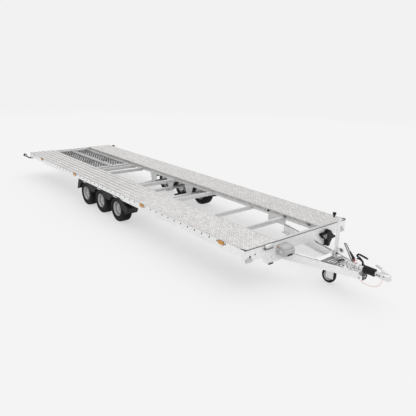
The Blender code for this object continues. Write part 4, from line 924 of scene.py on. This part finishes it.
def cable_duct():
    """A flat duct with a dark end on top of the left beam."""
    start, end, near, far = CABLE_DUCT
    duct = plate(on_beam(*CABLE_DUCT), "Z", BAR_TOP + 0.4, BAR_TOP + 9, 2)
    piece("cable_duct", duct, DUCT, smooth=35)
    y = bar_outer(start) - (near + far) / 2
    cap = soft_box((start - 34, y - 12, BAR_TOP + 0.4), (start + 4, y + 16, BAR_TOP + 12), 3)
    piece("cable_duct_end", cap, CAST)


for side, sign in SIDES:
    drawbar_edge_shade(side, sign)
drawbar_plate()
cable_duct()


# Overrun device: housing, end plate, bellows and the coupling

bellows_low, bellows_high = node_box("bellows")
AXIS_Z = (bellows_low.z + bellows_high.z) / 2
BELLOWS_RADIUS = (bellows_high.z - bellows_low.z) / 2
BELLOWS_BORE = 24
BELLOWS_FOLDS = 7
FOLD_STEPS = 8
HOUSING_REAR = housing_low.x
HOUSING_FRONT = housing_high.x
HOUSING_FOOT = BAR_TOP + 0.3
HOUSING_TOP = AXIS_Z + 28
HOUSING_SECTION = (
    (-30, HOUSING_FOOT + 2), (30, HOUSING_FOOT + 2), (30, HOUSING_TOP - 12), (18, HOUSING_TOP),
    (-18, HOUSING_TOP), (-30, HOUSING_TOP - 12),
)
SEAT_LENGTH = 170
SEAT_TOP = HOUSING_FOOT + 10
SEAT_NUTS = (28, 78, 128)
COLLAR_PROFILE = ((-12, 0), (-12, 44), (-9, 50), (-2, 50), (0, 46), (0, 0))
SECTOR_X = HOUSING_REAR + 145
SECTOR_OUTLINE = ((-24, -2), (-24, 12), (-12, 24), (12, 24), (24, 9.6), (24, -2))
SECTOR_CLEAR = 32
BANDS = 5
BAND_START = 20
BAND_PITCH = 56
BAND_WIDTH = 7
END_PLATE_REAR = HOUSING_FRONT + 16
END_PLATE_FRONT = HOUSING_FRONT + 22
END_PLATE_OUTLINE = ((53, -24), (52, -112), (32, -136), (-44, -136), (-52, -126), (-54, -24))
END_PLATE_HOLES = ((-36, -82, 8, 20), (-10, -98, 9, 22), (16, -98, 9, 20), (38, -80, 7, 15))


def overrun_housing():
    body = plate(HOUSING_SECTION, "X", HOUSING_REAR, HOUSING_FRONT - 12, 3)
    half = bar_outer(HOUSING_REAR + SEAT_LENGTH / 2) - 5
    seat = soft_box((HOUSING_REAR, -half, HOUSING_FOOT), (HOUSING_REAR + SEAT_LENGTH, half, SEAT_TOP), 3)
    collar = turned(facing(HOUSING_FRONT, 1, COLLAR_PROFILE), "X", (0, 0, AXIS_Z), 40)
    sector = plate(shifted(SECTOR_OUTLINE, SECTOR_X, HOUSING_TOP), "Y", -9.5, 9.5, 2)
    piece("overrun_body", [body, seat, collar, sector], BRIGHT, smooth=35, replaces="overrun_housing")
    wider = [(y * 1.04, AXIS_Z + (z - AXIS_Z) * 1.05) for y, z in HOUSING_SECTION]
    bands = []
    for number in range(BANDS):
        x = HOUSING_REAR + BAND_START + number * BAND_PITCH
        if abs(x - SECTOR_X) > SECTOR_CLEAR:
            bands.append(plate(wider, "X", x, x + BAND_WIDTH, 1.5))
    piece("overrun_bands", bands, CAST, smooth=35)
    nuts = []
    for along in SEAT_NUTS:
        x = HOUSING_REAR + along
        for y in (30 - bar_outer(x), bar_outer(x) - 30):
            nuts.append(bolt((x, y, SEAT_TOP + 0.2), "Z", 1, 10, 10))
    bolts("overrun_nuts", nuts, CAST)


def end_plate():
    """The dark plate in front of the collar, cut out round the bellows, with long holes."""
    reach = BELLOWS_RADIUS + 3
    outline = shifted(END_PLATE_OUTLINE, 0, AXIS_Z) + arc((0, AXIS_Z), (reach, reach), 207, 333, 18)
    blank = plate(outline, "X", END_PLATE_REAR, END_PLATE_FRONT)
    holes = []
    for y, z, wide, tall in END_PLATE_HOLES:
        oval = rounded((y, AXIS_Z + z), (wide, tall), 2, 20)
        holes.append(plate(oval, "X", END_PLATE_REAR - 10, END_PLATE_REAR + 20))
    foot = soft_box((HOUSING_FRONT - 9, -22, AXIS_Z - 66), (END_PLATE_REAR + 1, 22, AXIS_Z - 49), 2)
    piece("overrun_end_plate", [carved(blank, joined(holes)), foot], WIRE, smooth=30)


def rubber_bellows():
    start, end = bellows_low.x + 0.4, bellows_high.x - 0.4
    pitch = (end - start) / BELLOWS_FOLDS
    root, crest = BELLOWS_RADIUS * 0.74, BELLOWS_RADIUS - 0.5
    profile = [(start, BELLOWS_BORE), (start, root)]
    for fold in range(BELLOWS_FOLDS):
        for step in range(1, FOLD_STEPS):
            wave = math.sin(math.pi * step / FOLD_STEPS) ** 0.7
            profile.append((start + (fold + step / FOLD_STEPS) * pitch, root + (crest - root) * wave))
    profile += [(end, root), (end, BELLOWS_BORE)]
    folds = turned(profile, "X", (0, 0, AXIS_Z), 40, closed=True)
    piece("bellows_rubber", folds, RUBBER, smooth=50, replaces="bellows")


HEAD_SECTIONS = (               # place along the head, half width, bottom and top from its axis
    (4920, 24, -24, 24), (4928, 28, -28, 26), (4950, 30, -32, 29), (4985, 36, -38, 34), (5020, 40, -39, 39),
    (5055, 41, -39, 40), (5078, 38, -38, 36), (5092, 30, -36, 26), (5099.5, 17, -32, 10),
)
HEAD_POWER = 3.2
BALL_PLACE = (5055, 0, AXIS_Z - 18)
BALL_RADIUS = 26
SHAFT_PROFILE = (
    (HOUSING_FRONT + 0.5, 0), (HOUSING_FRONT + 0.5, 21.5), (4911, 21.5), (4912, 27), (4926, 27), (4926, 0),
)
LEVER_OUTLINE = (               # place along, and height above the axis
    (5055, 34), (5062, 52), (5035, 66), (4985, 84), (4905, 108), (4893, 104), (4894, 94), (4972, 70),
    (4990, 34),
)
GRIP_RIBS = 6
GRIP_RIB_STEP = (13, -3.9)
HEAD_BOLTS = ((4940, 30), (4972, 34.48))
POINTER_PLACE = (5028, -38.5, AXIS_Z + 12)


def coupling():
    rings = []
    for x, half, low, high in HEAD_SECTIONS:
        ring = rounded((0, AXIS_Z + (low + high) / 2), (half, (high - low) / 2), HEAD_POWER, 28)
        rings.append([(x, y, z) for y, z in ring])
    socket = [(-80, 0), (-80, BALL_RADIUS)] + arc((0, 0), (BALL_RADIUS, BALL_RADIUS), 90, 0, 8)
    shell = carved(skin(rings), turned(socket, "Z", BALL_PLACE))
    shaft = turned(SHAFT_PROFILE, "X", (0, 0, AXIS_Z), 32)
    piece("coupling_shell", [shell, shaft], BRIGHT, replaces="coupling_head")
    piece("coupling_handle", plate(shifted(LEVER_OUTLINE, 0, AXIS_Z), "Y", -14, 14, 4), BRIGHT)
    grip = []
    for rib in range(GRIP_RIBS):
        x, z = 4902 + rib * GRIP_RIB_STEP[0], AXIS_Z + 101 + rib * GRIP_RIB_STEP[1]
        grip.append(soft_box((x, -15.5, z - 8), (x + 7, 15.5, z + 7.5), 3))
    piece("coupling_grip", grip, CAST)
    heads = [bolt((x, sign * y, AXIS_Z), "Y", sign, 9, 9) for x, y in HEAD_BOLTS for side, sign in SIDES]
    bolts("coupling_bolts", heads, CAST)
    piece("coupling_pointer", dome(POINTER_PLACE, (9, 9), -5, "Y", 2, 20), CAST)


GRAB_SHARES = (                 # places from the handle's foot, as shares of its height
    (0.00, 0.02), (0.00, 0.24), (-0.04, 0.42), (-0.38, 0.68), (-0.68, 0.79), (-0.56, 1.00), (-0.16, 0.98),
    (0.48, 0.86),
)
GRAB_HEIGHT = 126
GRAB_RADIUS = 11.5
GRAB_END_RADIUS = 8
GUARD_ROUTE = ((4648, -14, 512), (4680, -14, 516), (4715, -14, 502), (4748, -14, 470), (4762, -14, 455))
SLEEVE_ROUTE = ((4532, 0, 566), (4562, 0, 530), (4600, 0, 486))
SLEEVE_RADII = (6, 19)
KNOB_PLACE = (4606, -4, 474)
KNOB_PROFILE = ((-16, 0), (-15, 12), (-6, 18), (6, 18), (15, 12), (16, 0))
PULL_RING = Vector((4640, -16, 466))
PULL_RING_RADII = Vector((17, 6, 19))
STRUT = ((4398, -34, 404), (4490, -32, 446))
STRUT_ROD = ((4486, -32, 444), (4585, -24, 476))
STRUT_FEET = (((4385, -44, 392.5), (4412, -24, 412)), ((4572, -28, 462), (4598, -9, 486)))


def handles():
    """The bent grab handle on the housing and the curved guard under it."""
    foot = HOUSING_FRONT - 30
    route = [(foot + along * GRAB_HEIGHT, 0, HOUSING_TOP + up * GRAB_HEIGHT) for along, up in GRAB_SHARES]
    path = smooth_path(route, 5)
    radii = [GRAB_END_RADIUS] + [GRAB_RADIUS] * (len(path) - 2) + [GRAB_END_RADIUS]
    piece("grab_handle_grip", tube(path, GRAB_RADIUS, 14, radii), PLASTIC, smooth=50, replaces="grab_handle")
    piece("grab_handle_guard", tube(smooth_path(GUARD_ROUTE, 5), 8.5, 12), PLASTIC, smooth=50)


def handbrake_details():
    """A tapered sleeve between the lever's arms, its knob, a ring and a gas strut."""
    path = smooth_path(SLEEVE_ROUTE, 5)
    thin, thick = SLEEVE_RADII
    radii = [thin + (thick - thin) * k / (len(path) - 1) for k in range(len(path))]
    piece("handbrake_sleeve", tube(path, thin, 18, radii), PLASTIC, smooth=50)
    piece("handbrake_knob", turned(KNOB_PROFILE, "Y", KNOB_PLACE, 24), DARK_RED, smooth=50)
    ring = [PULL_RING + Vector((c, s, s)) * PULL_RING_RADII for c, s in arc((0, 0), (1, 1), 0, 360, 28)]
    piece("handbrake_ring", tube(ring, 2.6, 8), RED, smooth=50)
    piece("brake_strut", tube(STRUT, 9, 18), PLASTIC, smooth=50)
    piece("brake_strut_rod", tube(STRUT_ROD, 4.5, 12), BRIGHT, smooth=50)
    piece("brake_strut_feet", [soft_box(low, high, 3) for low, high in STRUT_FEET], CAST)


overrun_housing()
end_plate()
rubber_bellows()
coupling()
handles()
handbrake_details()


# Jockey wheel: clamp, parking socket, crank, fork nuts and the wheel

crank_low, crank_high = node_box("jockey_crank")
wheel_low, wheel_high = node_box("jockey_wheel")
fork_low, fork_high = node_box("jockey_fork")
POST_AXIS = (POST_X, POST_Y, 0)
POST_FIT = POST_RADIUS + 0.4
CLAMP_Z = BAR_TOP + 62
CLAMP_HALF = 20
CLAMP_WALL = 8
CLAMP_LEVER = ((14, -10, 0), (16, -46, 6), (40, -76, 30))      # from the front of the post at the clamp
SOCKET_X = POST_X + 84
SOCKET_Z = 508
SOCKET_PROFILE = ((0, 0), (0, 30), (-6, 36), (-30, 36), (-34, 31), (-24, 21), (-24, 0))
SOCKET_INSIDE = ((-23.5, 0), (-23.5, 20), (-26, 20), (-26, 0))
PIN_CIRCLE = 12.5
POST_BANDS = (470, 640, 872)
CRANK_Z = crank_low.z + 13
CRANK_END = crank_low.x + 14
STEM_PROFILE = ((0, 0), (0, 20), (5, 20), (7, 11), (20, 11), (22, 0))
CRANK_KNOB_PROFILE = (
    (crank_low.z + 7, 0), (crank_low.z + 7, 9), (crank_low.z + 19, 10), (crank_low.z + 29, 12),
    (crank_high.z - 26, 22), (crank_high.z - 12, 24), (crank_high.z - 4, 20), (crank_high.z, 8),
    (crank_high.z + 1, 0),
)
JOCKEY_TYRE = ((-0.86, 0.64), (-0.98, 0.74), (-1, 0.84), (-0.90, 0.93), (-0.66, 0.985), (-0.2, 1))
JOCKEY_HUB = ((-0.84, 0.645), (-0.80, 0.56), (-0.45, 0.52), (-0.45, 0.26), (-0.98, 0.22))
JOCKEY_BORE = (-0.98, 9.5)      # share of the half width, and radius


def post_band(low, high, wall):
    """A ring round the post."""
    profile = [(low, POST_FIT), (low, POST_FIT + wall), (high, POST_FIT + wall), (high, POST_FIT)]
    return turned(profile, "Z", POST_AXIS, 32, closed=True)


def jockey_mount():
    """The clamp with its lever, and the socket for the plug on its arm, with bands round the tube."""
    face = POST_X + POST_FIT
    lugs = soft_box((face, POST_Y - 12, CLAMP_Z - 16), (face + 26, POST_Y + 12, CLAMP_Z + 16), 4)
    piece("jockey_clamp", [post_band(CLAMP_Z - CLAMP_HALF, CLAMP_Z + CLAMP_HALF, CLAMP_WALL), lugs], BRIGHT)
    lever = smooth_path([Vector((face, POST_Y, CLAMP_Z)) + Vector(place) for place in CLAMP_LEVER], 6)
    piece("jockey_clamp_lever", tube(lever, 6.5, 12), PLASTIC, smooth=50)
    centre = (SOCKET_X, POST_Y + 14, SOCKET_Z)
    piece("parking_socket", turned(SOCKET_PROFILE, "Y", centre, 36), ZINC, slot="grey_plastic")
    piece("parking_socket_inside", turned(SOCKET_INSIDE, "Y", centre, 30), PLASTIC)
    pins = []
    for x, z in circle(PIN_CIRCLE, 6) + [(0, 0)]:
        pins.append(dome((SOCKET_X + x, POST_Y - 12.2, SOCKET_Z + z), (3.4, 3.4), -5, "Y", 2, 14))
    piece("parking_socket_pins", pins, BRIGHT)
    arm = soft_box((POST_X + 20, POST_Y - 6, SOCKET_Z - 10), (SOCKET_X - 20, POST_Y + 8, SOCKET_Z + 10), 3)
    piece("parking_socket_arm", arm, BRIGHT)
    piece("jockey_tube_bands", [post_band(z, z + 9, 2) for z in POST_BANDS], BRIGHT)


def jockey_crank():
    stem = turned(facing(crank_low.z, 1, STEM_PROFILE), "Z", POST_AXIS)
    arm = tube([(x, POST_Y, CRANK_Z) for x in (POST_X + 8, POST_X - 40, CRANK_END)], 6.5, 14)
    piece("jockey_crank_arm", [stem, arm], BRIGHT, replaces="jockey_crank")
    knob = turned(CRANK_KNOB_PROFILE, "Z", (CRANK_END, POST_Y, 0))
    piece("jockey_crank_knob", knob, PLASTIC, smooth=50)


def jockey_wheel():
    centre = (wheel_low + wheel_high) / 2
    half, radius = (wheel_high.y - wheel_low.y) / 2, (wheel_high.z - wheel_low.z) / 2
    tyre = mirrored([(across * half, up * radius) for across, up in JOCKEY_TYRE])
    piece("jockey_wheel_tyre", turned(tyre, "Y", centre, 64, closed=True), TYRE, "jockey_roller",
          replaces="jockey_wheel")
    hub = [(across * half, up * radius) for across, up in JOCKEY_HUB]
    hub.append((JOCKEY_BORE[0] * half, JOCKEY_BORE[1]))
    piece("jockey_wheel_hub", turned(mirrored(hub), "Y", centre, 48, closed=True), GREY_PLASTIC,
          "jockey_roller", smooth=35)
    nuts = []
    for sign, face in ((-1, fork_low.y), (1, fork_high.y)):
        nuts.append(bolt((centre.x, face + sign * 0.2, centre.z), "Y", sign, 10, 8))
    bolts("jockey_fork_nuts", nuts, body="jockey_caster")


jockey_mount()
jockey_crank()
jockey_wheel()


# Ramps: two rails each, toothed rungs and studs

RUNG_PITCH = 110
RUNG_WIDTH = 30
RUNG_DEPTH = 4
RAIL_WIDTH = 20
END_DEPTH = 40
TOOTH_PITCH = 60
TOOTH_RISE = 16
TOOTH_INSET = 2.5
TOOTH_HALF_WALL = 2
STUD_PITCH = 34


def tooth_outline(low, high, base):
    """The outline of a toothed strip across a ramp, with as many teeth as it has room for."""
    teeth = int((high - low) / TOOTH_PITCH)
    start = (low + high - teeth * TOOTH_PITCH) / 2
    outline = [(start, base - 0.5)]
    for tooth in range(teeth):
        y = start + tooth * TOOTH_PITCH
        outline += [(y + share * TOOTH_PITCH, base + TOOTH_RISE) for share in (0.3, 0.62)]
        if tooth < teeth - 1:
            outline += [(y + share * TOOTH_PITCH, base + 2) for share in (0.86, 1.06)]
    return outline + [(start + teeth * TOOTH_PITCH, base - 0.5)]


def open_ramp(side):
    body = "ramp_" + side
    low, high = node_box(body)
    near, far = low.y + RAIL_WIDTH, high.y - RAIL_WIDTH
    rails = [soft_box((low.x, y, low.z), (high.x, y + RAIL_WIDTH, high.z), 2) for y in (low.y, far)]
    for x in (low.x, high.x - RUNG_WIDTH):
        rails.append(soft_box((x, near, high.z - END_DEPTH), (x + RUNG_WIDTH, far, high.z), 2))
    piece(body + "_rails", rails, RAMP, body, smooth=35, replaces=body)
    length = high.x - low.x
    count = int((length - RUNG_WIDTH) / RUNG_PITCH)
    margin = (length - count * RUNG_PITCH + RUNG_WIDTH) / 2
    top = high.z - TOOTH_RISE
    outline = tooth_outline(near, far, top)
    rungs, toothed = [], []
    for k in range(1, count):
        x = low.x + margin + k * RUNG_PITCH - RUNG_WIDTH
        rungs.append(soft_box((x, near - 1, top - RUNG_DEPTH), (x + RUNG_WIDTH, far + 1, top), 1))
        for middle in (x + TOOTH_INSET, x + RUNG_WIDTH - TOOTH_INSET):
            toothed.append(plate(outline, "X", middle - TOOTH_HALF_WALL, middle + TOOTH_HALF_WALL))
    piece(body + "_rungs", rungs, RUNG, body, smooth=35)
    # The teeth take the painted shade finish.
    piece(body + "_teeth", toothed, TOOTH_SHADE, body, smooth=35)
    studs = []
    for k in range(int((far - near) / STUD_PITCH)):
        place = (high.x - 15, near + (k + 0.5) * STUD_PITCH, high.z + 0.2)
        studs.append(dome(place, (9, 8), 7, "Z", 2.5, 16))
    piece(body + "_studs", studs, ZINC, body, slot="ramp_aluminium")


for side, sign in SIDES:
    open_ramp(side)


# Front axle: a black damper beside its tube

DAMPER_ENDS = ((415, 612, 290), (492, 232, 290))
DAMPER_RADIUS = 20
STRAP_PLACES = ((415, 582), (492, 262))
STRAP_HALF = 12
STRAP_HEIGHTS = (270, 276)
STRAP_FRONT = 607.5


def axle_damper():
    """The damper and the two straps that hold it to the tube."""
    piece("axle_damper", tube(DAMPER_ENDS, DAMPER_RADIUS, 22), RUBBER, smooth=50)
    straps = []
    low, high = STRAP_HEIGHTS
    for x, y in STRAP_PLACES:
        straps.append(soft_box((x, y - STRAP_HALF, low), (STRAP_FRONT, y + STRAP_HALF, high), 2))
    # The straps take the painted shade copy of the galvanised finish.
    piece("axle_damper_straps", straps, ZINC_SHADE, smooth=35)


axle_damper()


# Mudguards: clips and bolts on the outer skirts

GUARD_FACE = -node_box("mudguard_right")[0].y
CLIP_PLACES = (-141, 439)
CLIP_HALF = 11
CLIP_HEIGHTS = (462, 476.5)
CLIP_DEPTHS = (0.5, 3.5)
GUARD_BOLTS = (-700, -420, 160, 740, 1020)
GUARD_BOLT_Z = 467

for side, sign in SIDES:
    near, far = sorted(sign * (GUARD_FACE + depth) for depth in CLIP_DEPTHS)
    low, high = CLIP_HEIGHTS
    clips = [soft_box((x - CLIP_HALF, near, low), (x + CLIP_HALF, far, high), 1) for x in CLIP_PLACES]
    piece("mudguard_clips_" + side, clips, BRIGHT, smooth=35)
    face = sign * (GUARD_FACE + 0.4)
    heads = [bolt((x, face, GUARD_BOLT_Z), "Y", sign, 6, 5) for x in GUARD_BOLTS]
    bolts("mudguard_bolts_" + side, heads, PLASTIC)


# Rear: lamp clusters and the lenses of the corner lamps

rear_low, rear_high = node_box("rear_beam")
REAR_MIDDLE = (rear_low.z + rear_high.z) / 2
REAR_LAMP_OUTER = HALF_WIDTH - 14
LENS_DEPTH = (rear_low.x - 4, rear_low.x + 20)
SHELL_DEPTH = (rear_low.x + 20.5, rear_high.x - 51)
REAR_PARTS = (                  # ends inward of the cluster's outer end, depth, half height, edge, steps
    ("stop", 0.6, 125.4, LENS_DEPTH, 51, 5, 3, RED_LENS),
    ("turn", 126.6, 215.4, LENS_DEPTH, 51, 5, 3, AMBER),
    ("reverse", 216.6, 299.4, LENS_DEPTH, 51, 5, 3, CLEAR_LENS),
    ("housing", -1, 301, SHELL_DEPTH, 52, 3, 2, PLASTIC),
)
CORNER_LAMP_RADIUS = 34
CORNER_LENS_HALF = (21.08, 21.08)
CORNER_LENS_DEPTH = 9


def rear_cluster(side, sign):
    for name, start, end, (rear, front), half, edge, steps, finish in REAR_PARTS:
        near, far = sorted(sign * (REAR_LAMP_OUTER - inward) for inward in (start, end))
        low, high = (rear, near, REAR_MIDDLE - half), (front, far, REAR_MIDDLE + half)
        piece(f"rear_lamp_{name}_{side}", soft_box(low, high, edge, steps), finish)


def corner_lenses(side, sign):
    low, high = node_box("corner_lamp_" + side)
    y = sign * (max(abs(low.y), abs(high.y)) - CORNER_LAMP_RADIUS)
    z = high.z - CORNER_LAMP_RADIUS
    for name, x, step, finish in (("rear", low.x, -1, RED_LENS), ("front", high.x, 1, CLEAR_LENS)):
        lens = dome((x + step * 0.4, y, z), CORNER_LENS_HALF, step * CORNER_LENS_DEPTH, "X", 2, 32)
        piece(f"corner_lens_{name}_{side}", lens, finish, smooth=50)


for side, sign in SIDES:
    rear_cluster(side, sign)
    corner_lenses(side, sign)


# Floor and light, in metres

FLOOR_TONE = 0.885
VEIL = 0.62                     # how far the shown shadow is lifted
FLOOR_REACH = 120.0
FADE_START = 9.0
FADE_END = 22.0
SKY_STRENGTH = 0.80
SUN_STRENGTH = 0.85
SUN_SPREAD = math.radians(75)
SUN_PLACE = (-0.15, 0.15, 1.0)


def shown_rays(tree):
    """1 for what the camera, glossy surfaces and clear plastic see."""
    rays = node(tree, "LightPath", {}).outputs
    first = node(tree, "Math", {0: rays["Is Camera Ray"], 1: rays["Is Glossy Ray"]}, operation="MAXIMUM")
    second = {0: first.outputs[0], 1: rays["Is Transmission Ray"]}
    return node(tree, "Math", second, operation="MAXIMUM").outputs[0]


def make_floor():
    finish = bpy.data.materials.new("floor paper")
    finish.use_nodes = True
    tree = finish.node_tree
    paper = tree.nodes["Principled BSDF"]
    for socket, value in (("Base Color", grey(FLOOR_TONE)), ("Roughness", 0.95), ("Specular IOR Level", 0.0)):
        feed(tree, value, paper.inputs[socket])
    glow = node(tree, "Emission", {"Color": grey(FLOOR_TONE)})
    where = node(tree, "TexCoord", {}).outputs["Object"]
    far = node(tree, "VectorMath", {0: where}, operation="LENGTH").outputs["Value"]
    limits = {"Value": far, "From Min": FADE_START, "From Max": FADE_END}
    fade = node(tree, "MapRange", limits, interpolation_type="SMOOTHSTEP").outputs["Result"]
    veil = node(tree, "Math", {0: fade, 1: VEIL}, operation="MAXIMUM").outputs[0]
    share = node(tree, "Math", {0: veil, 1: shown_rays(tree)}, operation="MULTIPLY").outputs[0]
    blend = node(tree, "MixShader", {0: share, 1: paper.outputs[0], 2: glow.outputs[0]})
    feed(tree, blend.outputs[0], tree.nodes["Material Output"].inputs["Surface"])
    bm = bmesh.new()
    bmesh.ops.create_circle(bm, cap_ends=True, radius=FLOOR_REACH, segments=64)
    mesh = settled("floor", bm)
    mesh.materials.append(finish)
    link("floor", mesh)


def make_light():
    world = bpy.data.worlds.new("studio")
    bpy.context.scene.world = world
    world.use_nodes = True
    tree = world.node_tree
    sky = tree.nodes["Background"]
    feed(tree, grey(1.0), sky.inputs["Color"])
    feed(tree, SKY_STRENGTH, sky.inputs["Strength"])
    seen = node(tree, "Background", {"Color": grey(FLOOR_TONE), "Strength": 1.0})
    blend = node(tree, "MixShader", {0: shown_rays(tree), 1: sky.outputs[0], 2: seen.outputs[0]})
    feed(tree, blend.outputs[0], tree.nodes["World Output"].inputs["Surface"])
    sun = bpy.data.lights.new("soft sun", "SUN")
    sun.energy = SUN_STRENGTH
    sun.angle = SUN_SPREAD
    link("soft sun", sun).rotation_euler = Vector(SUN_PLACE).to_track_quat("Z", "Y").to_euler()


make_floor()
make_light()
